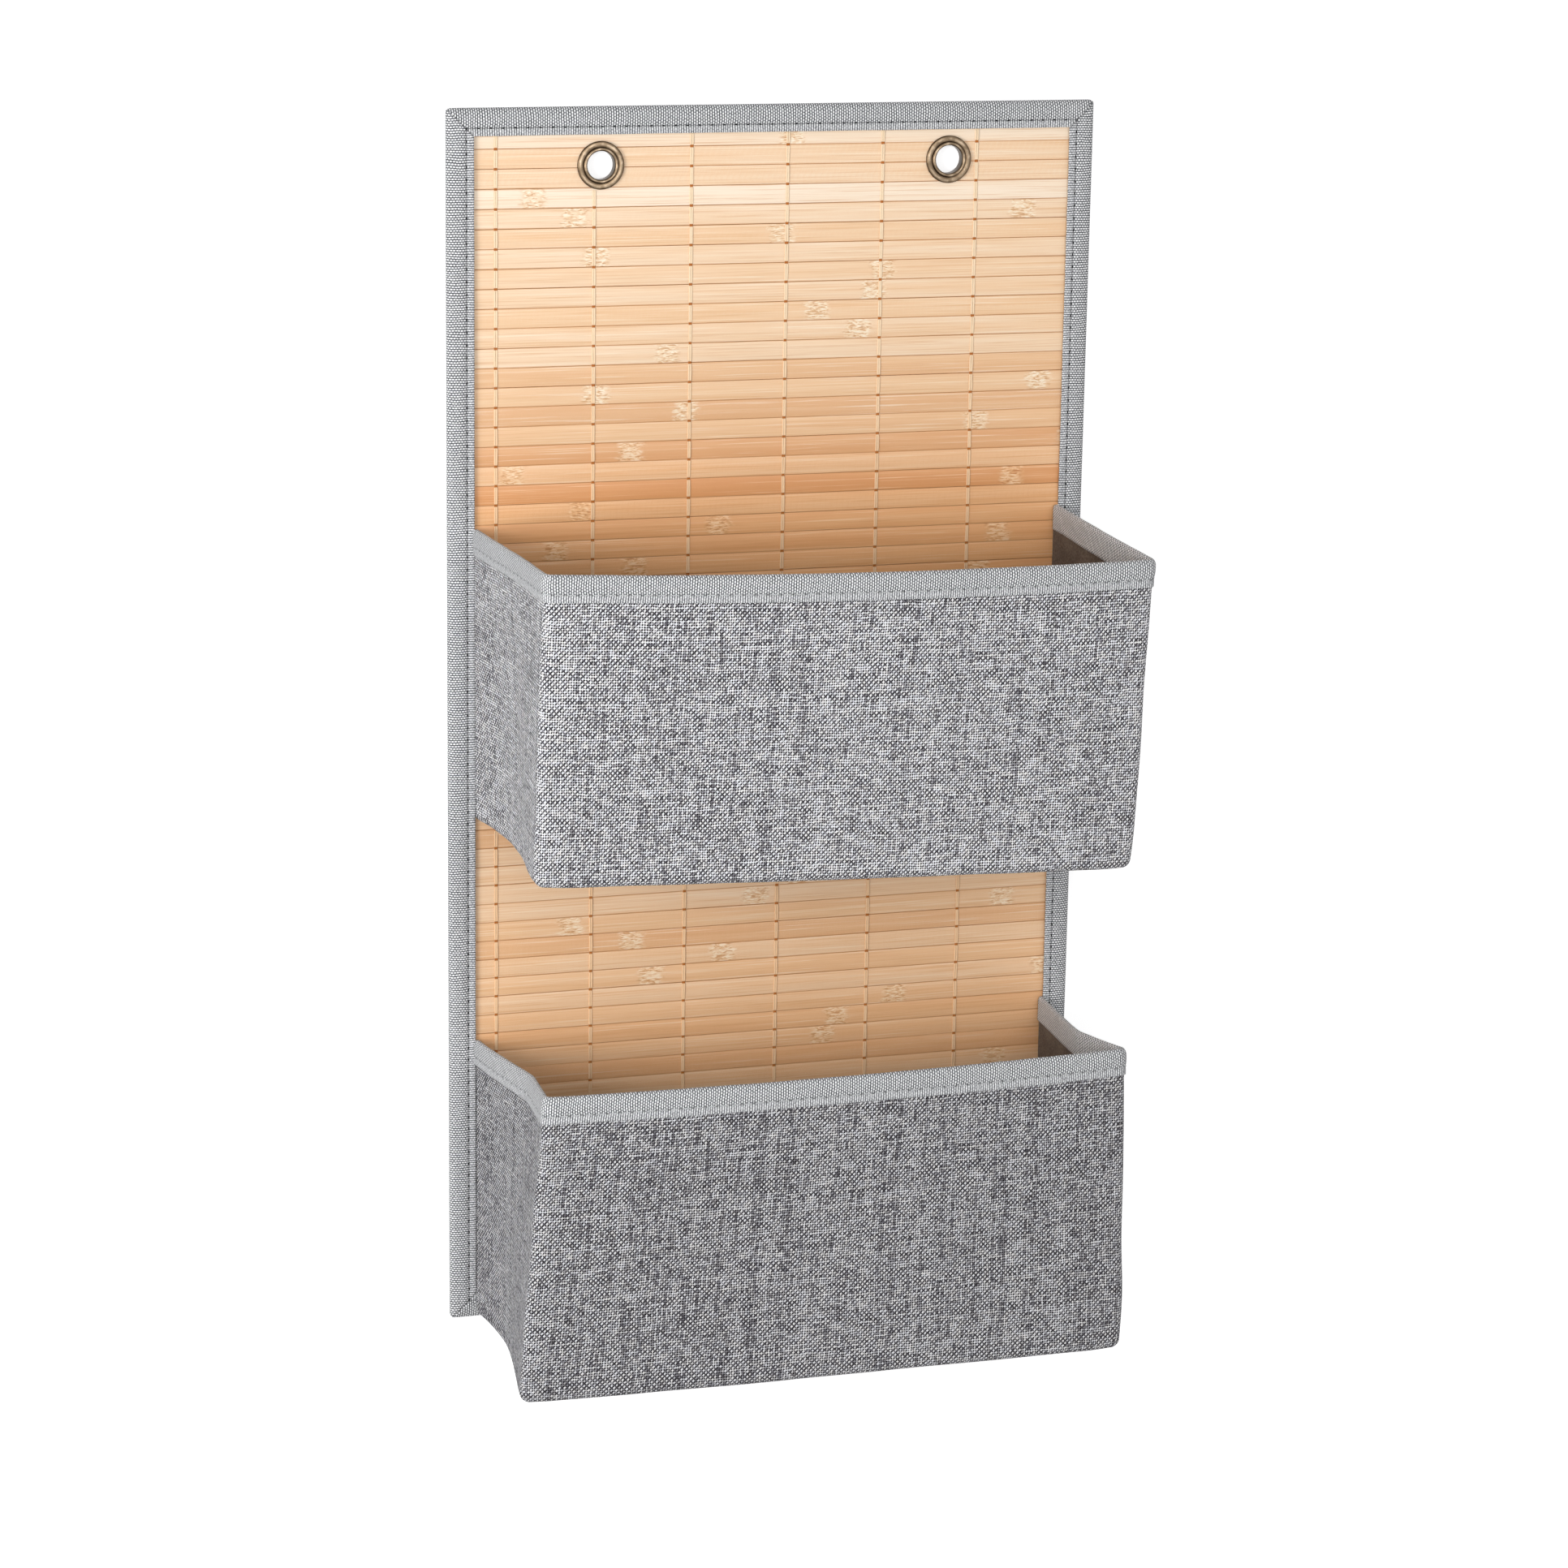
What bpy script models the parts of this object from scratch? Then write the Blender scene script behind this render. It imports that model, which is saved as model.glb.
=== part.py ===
"""Hanging storage organizer: a bordered bamboo mat that hangs on two eyelets and carries two cloth pockets.

The origin lies midway between the eyelets, on the wall. The pockets open upwards (+Z) and stand out along -Y.
"""
import math

import bmesh
import bpy
from mathutils import Vector

MM = 0.001
COLLECTION_NAME = "hanging_storage_organizer"

# Clearances
GAP = 0.3 * MM
CUT_OVERRUN = 5 * MM

# Panel
PANEL_WIDTH = 350 * MM
PANEL_HEIGHT = 650 * MM
MAT_THICKNESS = 2.0 * MM
BACKING_THICKNESS = 0.6 * MM

# Slats
SLAT_PITCH = 10.22 * MM
FIRST_SLAT_LINE_DROP = 10.2 * MM
SLAT_LINE_WIDTH = 0.8 * MM
SLAT_LINE_DEPTH = 1.1 * MM

# Warp threads, a pair in each column
THREAD_COLUMNS = 6
THREAD_SPACING = 52 * MM
FIRST_THREAD_FROM_EDGE = 25.2 * MM
THREAD_PAIR_WIDTH = 2.9 * MM
THREAD_THICKNESS = 0.3 * MM

# Woven tape
TAPE_THICKNESS = 0.6 * MM
BORDER_TAPE_WIDTH = 13.5 * MM
RIM_TAPE_WIDTH = 13.4 * MM
TAPE_FOLD_RADIUS = 1.2 * MM
TAPE_FOLD_STEPS = 4

# Eyelets
EYELET_FROM_SIDE = 80.5 * MM
EYELET_DROP = 29.5 * MM
EYELET_HOLE_DIAMETER = 14.6 * MM
EYELET_FLANGE_DIAMETER = 24.8 * MM
EYELET_ROLL_WIDTH = 2.0 * MM
EYELET_ROLL_HEIGHT = 2.2 * MM
EYELET_BRIM_HEIGHT = 1.3 * MM
EYELET_EDGE = 0.5 * MM
EYELET_WALL = 0.6 * MM
EYELET_CROWN_STEPS = 5
WASHER_DIAMETER = 22 * MM
WASHER_THICKNESS = 0.5 * MM
ROUND_STEPS = 32

# Pockets
POCKET_HEIGHT = 157 * MM
POCKET_DEPTH = 127 * MM
POCKET_RIM_INSET = 2.5 * MM
POCKET_BOTTOM_INSET = 4.5 * MM
POCKET_CORNER_RADIUS = 7 * MM
CORNER_STEPS = 5
UPPER_RIM_DROP = 216 * MM
CLOTH_THICKNESS = 0.9 * MM
LINING_THICKNESS = 0.6 * MM
BOARD_THICKNESS = 1.5 * MM
BOARD_MARGIN = 4 * MM

# Gusset folds: how far each side's rim is creased inwards, and the share of the height that stays flat
UPPER_GUSSET_CREASE = 3 * MM
LOWER_GUSSET_CREASE = 12 * MM
FLAT_GUSSET_SHARE = 0.35
GUSSET_BANDS_ALONG = 8
GUSSET_BANDS_UP = 6

# Levels of the panel's layers, from the wall (y = 0) forwards
BACKING_REAR = -(TAPE_THICKNESS + GAP)
BACKING_FRONT = BACKING_REAR - BACKING_THICKNESS
MAT_REAR = BACKING_FRONT - GAP
MAT_FRONT = MAT_REAR - MAT_THICKNESS
THREAD_REAR = MAT_FRONT - GAP
THREAD_FRONT = THREAD_REAR - THREAD_THICKNESS
PANEL_FRONT = THREAD_FRONT - GAP - TAPE_THICKNESS

PANEL_TOP = EYELET_DROP
PANEL_BOTTOM = PANEL_TOP - PANEL_HEIGHT
TAPE_LAYER = TAPE_THICKNESS + GAP

# Pocket widths: the sides start at the border tape's inner edges and draw in towards the front and the bottom
POCKET_BACK_WIDTH = PANEL_WIDTH - 2 * BORDER_TAPE_WIDTH
POCKET_RIM_WIDTH = POCKET_BACK_WIDTH - 2 * POCKET_RIM_INSET
POCKET_BOTTOM_WIDTH = POCKET_RIM_WIDTH - 2 * POCKET_BOTTOM_INSET

# The front of a pocket is a stack of cloth, board and lining; its sides are cloth and lining
FRONT_STACK = CLOTH_THICKNESS + GAP + BOARD_THICKNESS + GAP + LINING_THICKNESS
SIDE_STACK = CLOTH_THICKNESS + GAP + LINING_THICKNESS
FRONT_INNER = -(POCKET_DEPTH - FRONT_STACK)
SIDE_BACK = -GAP
SIDE_FRONT = FRONT_INNER + TAPE_LAYER + GAP
SHEET_TOP = -TAPE_LAYER
SIDE_FOOT = -POCKET_HEIGHT + SIDE_STACK + GAP


def clear_scene():
    for obj in list(bpy.data.objects):
        bpy.data.objects.remove(obj, do_unlink=True)


def make_collection(name):
    collection = bpy.data.collections.new(name)
    bpy.context.scene.collection.children.link(collection)
    return collection


def make_material(name, color, roughness, metallic=0.0):
    material = bpy.data.materials.new(name)
    material.use_nodes = True
    shader = material.node_tree.nodes["Principled BSDF"]
    shader.inputs["Base Color"].default_value = (*color, 1.0)
    shader.inputs["Roughness"].default_value = roughness
    shader.inputs["Metallic"].default_value = metallic
    return material


def place(name, mesh, collection, material=None, parent=None, location=(0, 0, 0), rotation=(0, 0, 0)):
    obj = bpy.data.objects.new(name, mesh)
    collection.objects.link(obj)
    obj.parent = parent
    obj.location = location
    obj.rotation_euler = rotation
    if material is not None:
        mesh.materials.append(material)
    return obj


def make_empty(name, collection, location, parent=None):
    empty = bpy.data.objects.new(name, None)
    collection.objects.link(empty)
    empty.parent = parent
    empty.location = location
    return empty


def block_mesh(name, low, high):
    """A closed box between two corners."""
    mesh = bpy.data.meshes.new(name)
    form = bmesh.new()
    bmesh.ops.create_cube(form, size=1)
    bmesh.ops.scale(form, vec=high - low, verts=form.verts)
    bmesh.ops.translate(form, vec=(low + high) / 2, verts=form.verts)
    form.to_mesh(mesh)
    form.free()
    return mesh


def outline_mesh(name, points, thickness):
    """A flat outline in the local XY plane, half its thickness to either side along Z, as a closed mesh."""
    curve = bpy.data.curves.new(name, "CURVE")
    curve.dimensions = "2D"
    curve.fill_mode = "BOTH"
    curve.extrude = thickness / 2
    spline = curve.splines.new("POLY")
    spline.points.add(len(points) - 1)
    for point, (x, y) in zip(spline.points, points):
        point.co = (x, y, 0, 1)
    spline.use_cyclic_u = True
    guide = bpy.data.objects.new(name, curve)
    bpy.context.scene.collection.objects.link(guide)
    evaluated = guide.evaluated_get(bpy.context.evaluated_depsgraph_get())
    mesh = bpy.data.meshes.new_from_object(evaluated)
    mesh.name = name
    bpy.data.objects.remove(guide, do_unlink=True)
    form = bmesh.new()
    form.from_mesh(mesh)
    bmesh.ops.remove_doubles(form, verts=form.verts, dist=GAP / 100)
    bmesh.ops.recalc_face_normals(form, faces=form.faces)
    form.to_mesh(mesh)
    form.free()
    return mesh


def reshape(mesh, move, cuts=()):
    """Cuts a mesh along planes, given as (axis, place), and moves each of its points by a rule."""
    form = bmesh.new()
    form.from_mesh(mesh)
    for axis, cut in cuts:
        normal = Vector(int(axis == k) for k in range(3))
        geometry = form.verts[:] + form.edges[:] + form.faces[:]
        bmesh.ops.bisect_plane(form, geom=geometry, plane_co=normal * cut, plane_no=normal)
    for vert in form.verts:
        vert.co = move(vert.co)
    if cuts:
        bmesh.ops.triangulate(form, faces=form.faces, quad_method="SHORT_EDGE")
    bmesh.ops.recalc_face_normals(form, faces=form.faces)
    form.to_mesh(mesh)
    form.free()
    return mesh


def arc(center_x, center_y, radius, start, end, steps):
    """Points on an arc, angles in degrees."""
    angles = [math.radians(start + (end - start) * i / steps) for i in range(steps + 1)]
    return [(center_x + radius * math.cos(a), center_y + radius * math.sin(a)) for a in angles]


def folded_tape_outline(width, inner_space):
    """The section of a tape folded over an edge: its fold is at x = 0, its two plies run to x = width."""
    outer_half = inner_space / 2 + TAPE_THICKNESS
    radius = min(TAPE_FOLD_RADIUS, outer_half)
    low_corner = arc(radius, -outer_half + radius, radius, 270, 180, TAPE_FOLD_STEPS)
    high_corner = arc(radius, outer_half - radius, radius, 180, 90, TAPE_FOLD_STEPS)
    inside = [
        (width, outer_half),
        (width, inner_space / 2),
        (TAPE_THICKNESS, inner_space / 2),
        (TAPE_THICKNESS, -inner_space / 2),
        (width, -inner_space / 2),
        (width, -outer_half),
    ]
    return low_corner + high_corner + inside


def turned_object(name, profile, collection, material, parent, location):
    """A closed profile of (radius, height) points turned about an axis that points forwards, along -Y."""
    mesh = bpy.data.meshes.new(name)
    points = [(radius, 0, height) for radius, height in profile]
    edges = [(i, (i + 1) % len(points)) for i in range(len(points))]
    mesh.from_pydata(points, edges, [])
    obj = place(name, mesh, collection, material, parent, location, (math.radians(90), 0, 0))
    screw = obj.modifiers.new("turn", "SCREW")
    screw.steps = ROUND_STEPS
    screw.render_steps = ROUND_STEPS
    screw.use_merge_vertices = True
    screw.merge_threshold = GAP / 100
    screw.use_smooth_shade = True
    return obj


def cut_with(obj, cutter):
    cut = obj.modifiers.new("cut " + cutter.name, "BOOLEAN")
    cut.operation = "DIFFERENCE"
    cut.solver = "EXACT"
    cut.object = cutter


def eyelet_places():
    half_spacing = PANEL_WIDTH / 2 - EYELET_FROM_SIDE
    return {"left": -half_spacing, "right": half_spacing}


def make_hole_cutters(collection):
    """One cutter for each eyelet: it makes room for the barrel in the mat and in the backing cloth."""
    radius = EYELET_HOLE_DIAMETER / 2 + EYELET_WALL + GAP
    length = -MAT_FRONT + 2 * CUT_OVERRUN
    cutters = []
    for side, x in eyelet_places().items():
        mesh = bpy.data.meshes.new("eyelet_hole_" + side)
        form = bmesh.new()
        bmesh.ops.create_cone(
            form, cap_ends=True, segments=ROUND_STEPS, radius1=radius, radius2=radius, depth=length
        )
        form.to_mesh(mesh)
        form.free()
        location = (x, MAT_FRONT / 2, 0)
        cutter = place(mesh.name, mesh, collection, location=location, rotation=(math.radians(90), 0, 0))
        cutter.hide_render = True
        cutter.display_type = "WIRE"
        cutters.append(cutter)
    return cutters


def slat_lines():
    """Heights of the grooves between the slats, from the top down."""
    lowest = PANEL_BOTTOM + TAPE_LAYER + SLAT_LINE_WIDTH
    count = int((PANEL_TOP - FIRST_SLAT_LINE_DROP - lowest) / SLAT_PITCH) + 1
    return [PANEL_TOP - FIRST_SLAT_LINE_DROP - i * SLAT_PITCH for i in range(count)]


def make_mat(collection, material, root, cutters):
    """The slats, held in one body by what is left behind each groove. The outline is (y, z), drawn along X."""
    points = [(MAT_REAR, PANEL_BOTTOM + TAPE_LAYER), (MAT_REAR, PANEL_TOP - TAPE_LAYER)]
    points.append((MAT_FRONT, PANEL_TOP - TAPE_LAYER))
    for line in slat_lines():
        points.append((MAT_FRONT, line + SLAT_LINE_WIDTH / 2))
        points.append((MAT_FRONT + SLAT_LINE_DEPTH, line))
        points.append((MAT_FRONT, line - SLAT_LINE_WIDTH / 2))
    points.append((MAT_FRONT, PANEL_BOTTOM + TAPE_LAYER))
    mesh = outline_mesh("bamboo_mat", points, PANEL_WIDTH - 2 * TAPE_LAYER)
    rotation = (math.radians(90), 0, math.radians(90))
    mat = place("bamboo_mat", mesh, collection, material, root, rotation=rotation)
    for cutter in cutters:
        cut_with(mat, cutter)


def make_backing(collection, material, root, cutters):
    half_width = PANEL_WIDTH / 2 - TAPE_LAYER
    low = Vector((-half_width, BACKING_FRONT, PANEL_BOTTOM + TAPE_LAYER))
    high = Vector((half_width, BACKING_REAR, PANEL_TOP - TAPE_LAYER))
    backing = place("backing_cloth", block_mesh("backing_cloth", low, high), collection, material, root)
    for cutter in cutters:
        cut_with(backing, cutter)


def make_warp_threads(collection, material, root):
    """Thread pairs over the slats. A column that an eyelet interrupts starts below its flange."""
    reach = EYELET_FLANGE_DIAMETER / 2 + GAP
    for i in range(THREAD_COLUMNS):
        x = -PANEL_WIDTH / 2 + FIRST_THREAD_FROM_EDGE + i * THREAD_SPACING
        top = PANEL_TOP - TAPE_LAYER
        if any(abs(x - hole_x) < reach + THREAD_PAIR_WIDTH / 2 for hole_x in eyelet_places().values()):
            top = -reach
        low = Vector((x - THREAD_PAIR_WIDTH / 2, THREAD_FRONT, PANEL_BOTTOM + TAPE_LAYER))
        high = Vector((x + THREAD_PAIR_WIDTH / 2, THREAD_REAR, top))
        name = f"warp_thread_{i + 1}"
        place(name, block_mesh(name, low, high), collection, material, root)


def make_border(collection, material, root):
    """Four folded tapes with mitred ends, each modelled lying along Z with its fold at x = 0."""
    inner_space = -PANEL_FRONT - 2 * TAPE_THICKNESS
    middle = (PANEL_TOP + PANEL_BOTTOM) / 2
    quarter = math.radians(90)
    runs = {
        "left": (PANEL_HEIGHT, (-PANEL_WIDTH / 2, PANEL_FRONT / 2, middle), (0, 0, 0)),
        "right": (PANEL_HEIGHT, (PANEL_WIDTH / 2, PANEL_FRONT / 2, middle), (0, 2 * quarter, 0)),
        "top": (PANEL_WIDTH, (0, PANEL_FRONT / 2, PANEL_TOP), (0, quarter, 0)),
        "bottom": (PANEL_WIDTH, (0, PANEL_FRONT / 2, PANEL_BOTTOM), (0, -quarter, 0)),
    }
    for side, (length, location, rotation) in runs.items():
        name = "border_binding_" + side
        mesh = outline_mesh(name, folded_tape_outline(BORDER_TAPE_WIDTH, inner_space), length)

        def mitre(point):
            shortened = length / 2 - point.x - GAP / 2
            return Vector((point.x, point.y, math.copysign(shortened, point.z)))

        place(name, reshape(mesh, mitre), collection, material, root, location, rotation)


def crown_profile(inner, outer, height):
    """A rounded crest between two radii, as (radius, height) points above the flange's thin edge."""
    points = []
    for i in range(EYELET_CROWN_STEPS + 1):
        angle = math.pi * (1 - i / EYELET_CROWN_STEPS)
        radius = (inner + outer) / 2 + (outer - inner) / 2 * math.cos(angle)
        points.append((radius, EYELET_EDGE + (height - EYELET_EDGE) * math.sin(angle)))
    return points


def make_eyelets(collection, brass, washer_metal, root):
    """Each eyelet has a rolled lip, a crowned brim and a barrel through the panel, clenched on a washer."""
    inner = EYELET_HOLE_DIAMETER / 2
    outer = EYELET_FLANGE_DIAMETER / 2
    barrel_outer = inner + EYELET_WALL
    washer_front = BACKING_REAR + GAP
    washer_rear = washer_front + WASHER_THICKNESS
    seat = MAT_FRONT - GAP
    barrel_length = washer_rear - seat
    valley = inner + EYELET_ROLL_WIDTH
    crown = crown_profile(inner, valley, EYELET_ROLL_HEIGHT) + crown_profile(valley, outer, EYELET_BRIM_HEIGHT)[1:]
    flange = crown + [(outer, 0), (barrel_outer, 0), (barrel_outer, -barrel_length), (inner, -barrel_length)]
    washer_inner = barrel_outer + GAP
    washer = [
        (washer_inner, WASHER_THICKNESS),
        (WASHER_DIAMETER / 2, WASHER_THICKNESS),
        (WASHER_DIAMETER / 2, 0),
        (washer_inner, 0),
    ]
    for side, x in eyelet_places().items():
        turned_object("eyelet_" + side, flange, collection, brass, root, (x, seat, 0))
        turned_object("eyelet_washer_" + side, washer, collection, washer_metal, root, (x, washer_rear, 0))


def sheet_outline(margin, top):
    """The pocket front seen face on, (x, z) from the rim's middle, with its bottom corners rounded."""
    bottom = -POCKET_HEIGHT + margin
    slope = (POCKET_RIM_WIDTH - POCKET_BOTTOM_WIDTH) / 2 / POCKET_HEIGHT
    radius = POCKET_CORNER_RADIUS
    bottom_half = POCKET_BOTTOM_WIDTH / 2 - margin
    top_half = POCKET_RIM_WIDTH / 2 - margin + slope * top
    right = arc(bottom_half - radius, bottom + radius, radius, 270, 360, CORNER_STEPS)
    left = [(-x, z) for x, z in reversed(right)]
    return left + right + [(top_half, top), (-top_half, top)]


def make_front_sheet(name, collection, material, parent, front, thickness, margin=0.0):
    """One layer of a pocket's front; front is the distance of its front face behind the pocket's front."""
    mesh = outline_mesh(name, sheet_outline(margin, SHEET_TOP), thickness)
    location = (0, -POCKET_DEPTH + front + thickness / 2, 0)
    place(name, mesh, collection, material, parent, location, (math.radians(90), 0, 0))


def side_surface(y, z, crease):
    """Half width of a pocket at its outer side face: it tapers forwards and down, and its rim is creased in."""
    along = y / -POCKET_DEPTH
    up = 1 + z / POCKET_HEIGHT
    front_half = (POCKET_BOTTOM_WIDTH + (POCKET_RIM_WIDTH - POCKET_BOTTOM_WIDTH) * up) / 2
    half = POCKET_BACK_WIDTH / 2 + (front_half - POCKET_BACK_WIDTH / 2) * along
    middle = (SIDE_BACK + SIDE_FRONT) / 2
    reach = max(0.0, 1 - abs(y - middle) / ((SIDE_BACK - SIDE_FRONT) / 2))
    rise = max(0.0, (up - FLAT_GUSSET_SHARE) / (1 - FLAT_GUSSET_SHARE))
    return half - crease * reach * rise


def gusset_cuts(foot):
    along = [SIDE_BACK + (SIDE_FRONT - SIDE_BACK) * i / GUSSET_BANDS_ALONG for i in range(1, GUSSET_BANDS_ALONG)]
    up = [foot + (SHEET_TOP - foot) * i / GUSSET_BANDS_UP for i in range(1, GUSSET_BANDS_UP)]
    return [(1, y) for y in along] + [(2, z) for z in up]


def side_rule(sign, crease):
    """Turns a point's x, its depth inside the outer side face, into its real place."""
    return lambda point: Vector((sign * (side_surface(point.y, point.z, crease) - point.x), point.y, point.z))


def make_side_sheet(name, collection, material, parent, sign, crease, depth, thickness):
    low = Vector((depth, SIDE_FRONT, SIDE_FOOT))
    high = Vector((depth + thickness, SIDE_BACK, SHEET_TOP))
    mesh = reshape(block_mesh(name, low, high), side_rule(sign, crease), gusset_cuts(SIDE_FOOT))
    place(name, mesh, collection, material, parent)


def make_side_rim(name, collection, material, parent, sign, crease):
    """Tape folded over a side's top edge. Its section is modelled in (x, z) and drawn along Y."""
    section = folded_tape_outline(RIM_TAPE_WIDTH, SIDE_STACK + 2 * GAP)
    mesh = outline_mesh(name, section, SIDE_BACK - SIDE_FRONT)
    middle = (SIDE_BACK + SIDE_FRONT) / 2
    reshape(mesh, lambda point: Vector((point.y + SIDE_STACK / 2, middle + point.z, -point.x)))
    foot = -RIM_TAPE_WIDTH
    cuts = [cut for cut in gusset_cuts(foot) if cut[0] == 1]
    place(name, reshape(mesh, side_rule(sign, crease), cuts), collection, material, parent)


def make_front_rim(name, collection, material, parent):
    section = folded_tape_outline(RIM_TAPE_WIDTH, FRONT_STACK + 2 * GAP)
    mesh = outline_mesh(name, section, POCKET_RIM_WIDTH + 2 * TAPE_LAYER)
    reshape(mesh, lambda point: Vector((point.z, point.y, -point.x)))
    place(name, mesh, collection, material, parent, (0, -POCKET_DEPTH + FRONT_STACK / 2, 0))


def make_bottom_sheet(name, collection, material, parent, low_z, thickness):
    """A layer of the pocket's bottom, as wide as the sides' outer faces at its height."""
    low = Vector((-1, SIDE_FRONT, low_z))
    high = Vector((1, SIDE_BACK, low_z + thickness))

    def widen(point):
        return Vector((point.x * side_surface(point.y, point.z, 0.0), point.y, point.z))

    place(name, reshape(block_mesh(name, low, high), widen), collection, material, parent)


def make_pocket(prefix, rim_height, crease, collection, materials, root):
    pocket = make_empty(prefix + "_pocket", collection, (0, PANEL_FRONT, rim_height), root)
    slide = make_empty(prefix + "_front_slide", collection, (0, 0, 0), pocket)
    cloth = materials["cloth"]
    lining = materials["lining"]
    board_front = CLOTH_THICKNESS + GAP
    lining_front = board_front + BOARD_THICKNESS + GAP
    make_front_sheet(prefix + "_front_cloth", collection, cloth, slide, 0, CLOTH_THICKNESS)
    board_name = prefix + "_front_board"
    make_front_sheet(board_name, collection, materials["board"], slide, board_front, BOARD_THICKNESS, BOARD_MARGIN)
    make_front_sheet(prefix + "_front_lining", collection, lining, slide, lining_front, LINING_THICKNESS)
    make_front_rim(prefix + "_rim_front", collection, materials["tape"], slide)
    inner_layer = CLOTH_THICKNESS + GAP
    for side, sign in (("left", -1), ("right", 1)):
        cloth_name = f"{prefix}_side_{side}_cloth"
        lining_name = f"{prefix}_side_{side}_lining"
        make_side_sheet(cloth_name, collection, cloth, pocket, sign, crease, 0, CLOTH_THICKNESS)
        make_side_sheet(lining_name, collection, lining, pocket, sign, crease, inner_layer, LINING_THICKNESS)
        make_side_rim(f"{prefix}_rim_{side}", collection, materials["tape"], pocket, sign, crease)
    floor = -POCKET_HEIGHT
    make_bottom_sheet(prefix + "_bottom_cloth", collection, cloth, pocket, floor, CLOTH_THICKNESS)
    lining_floor = floor + inner_layer
    make_bottom_sheet(prefix + "_bottom_lining", collection, lining, pocket, lining_floor, LINING_THICKNESS)


def build():
    clear_scene()
    parts = make_collection(COLLECTION_NAME)
    cutters = make_collection("cutters")
    root = make_empty("panel_frame", parts, (0, 0, 0))
    materials = {
        "cloth": make_material("melange_cloth", (0.36, 0.35, 0.37), 0.9),
        "lining": make_material("taupe_lining", (0.16, 0.13, 0.10), 0.95),
        "tape": make_material("woven_tape", (0.40, 0.41, 0.42), 0.7),
        "board": make_material("card_board", (0.45, 0.36, 0.25), 0.9),
        "bamboo": make_material("bamboo", (0.75, 0.52, 0.30), 0.45),
        "thread": make_material("warp_thread", (0.80, 0.62, 0.36), 0.8),
        "backing": make_material("backing_cloth", (0.20, 0.18, 0.16), 0.95),
        "brass": make_material("antique_brass", (0.25, 0.17, 0.09), 0.35, 1.0),
    }
    holes = make_hole_cutters(cutters)
    make_mat(parts, materials["bamboo"], root, holes)
    make_backing(parts, materials["backing"], root, holes)
    make_warp_threads(parts, materials["thread"], root)
    make_border(parts, materials["tape"], root)
    make_eyelets(parts, materials["brass"], materials["brass"], root)
    upper_rim = PANEL_TOP - UPPER_RIM_DROP
    lower_rim = PANEL_BOTTOM + POCKET_HEIGHT
    make_pocket("upper", upper_rim, UPPER_GUSSET_CREASE, parts, materials, root)
    make_pocket("lower", lower_rim, LOWER_GUSSET_CREASE, parts, materials, root)


build()
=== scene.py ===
"""Looks of the hanging storage organizer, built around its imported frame. Lengths are in metres, +Z is up.

The origin lies midway between the eyelets, on the wall. A pocket stands out along -Y, and its depths are
measured forwards from the panel's front face.
"""
import math
import random

import bmesh
import bpy
import numpy as np
from mathutils import Matrix, Vector


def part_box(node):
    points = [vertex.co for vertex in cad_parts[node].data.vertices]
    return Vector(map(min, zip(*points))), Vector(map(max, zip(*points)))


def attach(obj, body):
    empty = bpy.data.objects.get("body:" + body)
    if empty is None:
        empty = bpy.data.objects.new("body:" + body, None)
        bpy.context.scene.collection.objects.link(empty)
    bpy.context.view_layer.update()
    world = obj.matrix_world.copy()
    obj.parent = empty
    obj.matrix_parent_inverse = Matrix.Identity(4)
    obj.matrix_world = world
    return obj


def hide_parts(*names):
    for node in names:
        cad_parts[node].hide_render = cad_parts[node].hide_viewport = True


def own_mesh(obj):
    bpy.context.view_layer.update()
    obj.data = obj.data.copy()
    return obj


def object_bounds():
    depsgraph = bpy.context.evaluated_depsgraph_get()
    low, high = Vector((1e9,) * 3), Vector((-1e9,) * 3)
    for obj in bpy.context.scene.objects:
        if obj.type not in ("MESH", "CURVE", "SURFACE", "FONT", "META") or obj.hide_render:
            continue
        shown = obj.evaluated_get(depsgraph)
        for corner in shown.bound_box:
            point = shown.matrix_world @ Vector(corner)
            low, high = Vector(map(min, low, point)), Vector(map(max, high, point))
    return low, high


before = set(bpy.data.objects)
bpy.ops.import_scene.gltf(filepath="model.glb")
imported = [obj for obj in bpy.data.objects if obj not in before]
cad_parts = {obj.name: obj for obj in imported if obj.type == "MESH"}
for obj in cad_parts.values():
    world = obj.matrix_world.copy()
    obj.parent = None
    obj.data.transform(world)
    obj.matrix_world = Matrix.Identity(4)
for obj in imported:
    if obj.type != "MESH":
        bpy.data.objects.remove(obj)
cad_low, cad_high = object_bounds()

MM = 0.001
WELD = 0.001 * MM

# Panel, read from the frame
left_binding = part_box("border_binding_left")
mat_low, mat_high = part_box("bamboo_mat")
PANEL_HALF = cad_high.x
PANEL_TOP = cad_high.z
PANEL_BOTTOM = left_binding[0].z
PANEL_FRONT = left_binding[0].y
TAPE_INNER = left_binding[1].x - left_binding[0].x
MAT_FRONT = mat_low.y
MAT_REAR = mat_high.y

# Slats
SLAT_PITCH = 10.22 * MM
FIRST_SLAT_LINE_DROP = 10.2 * MM
SLAT_GAP = 0.09 * MM
SLAT_GAP_SPREAD = 0.06 * MM
SLAT_EDGE_RADIUS = 0.22 * MM
SLAT_COLUMNS = 110
SLAT_LEVEL_SPREAD = 0.10 * MM
SLAT_WAVE = 0.06 * MM
SLAT_SET_BACK = 0.1 * MM
SLAT_THICKNESS = MAT_REAR - MAT_FRONT - 0.2 * MM

# Warp threads
THREAD_HALF_WIDTH = 0.52 * MM
THREAD_HALF_THICKNESS = 0.20 * MM
THREAD_APART = 0.50 * MM
THREAD_WANDER = 0.12 * MM
THREAD_DIP = 0.30 * MM
THREAD_DIP_REACH = 0.62 * MM
THREAD_STEP = 0.6 * MM
THREAD_SIDES = 10

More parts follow.
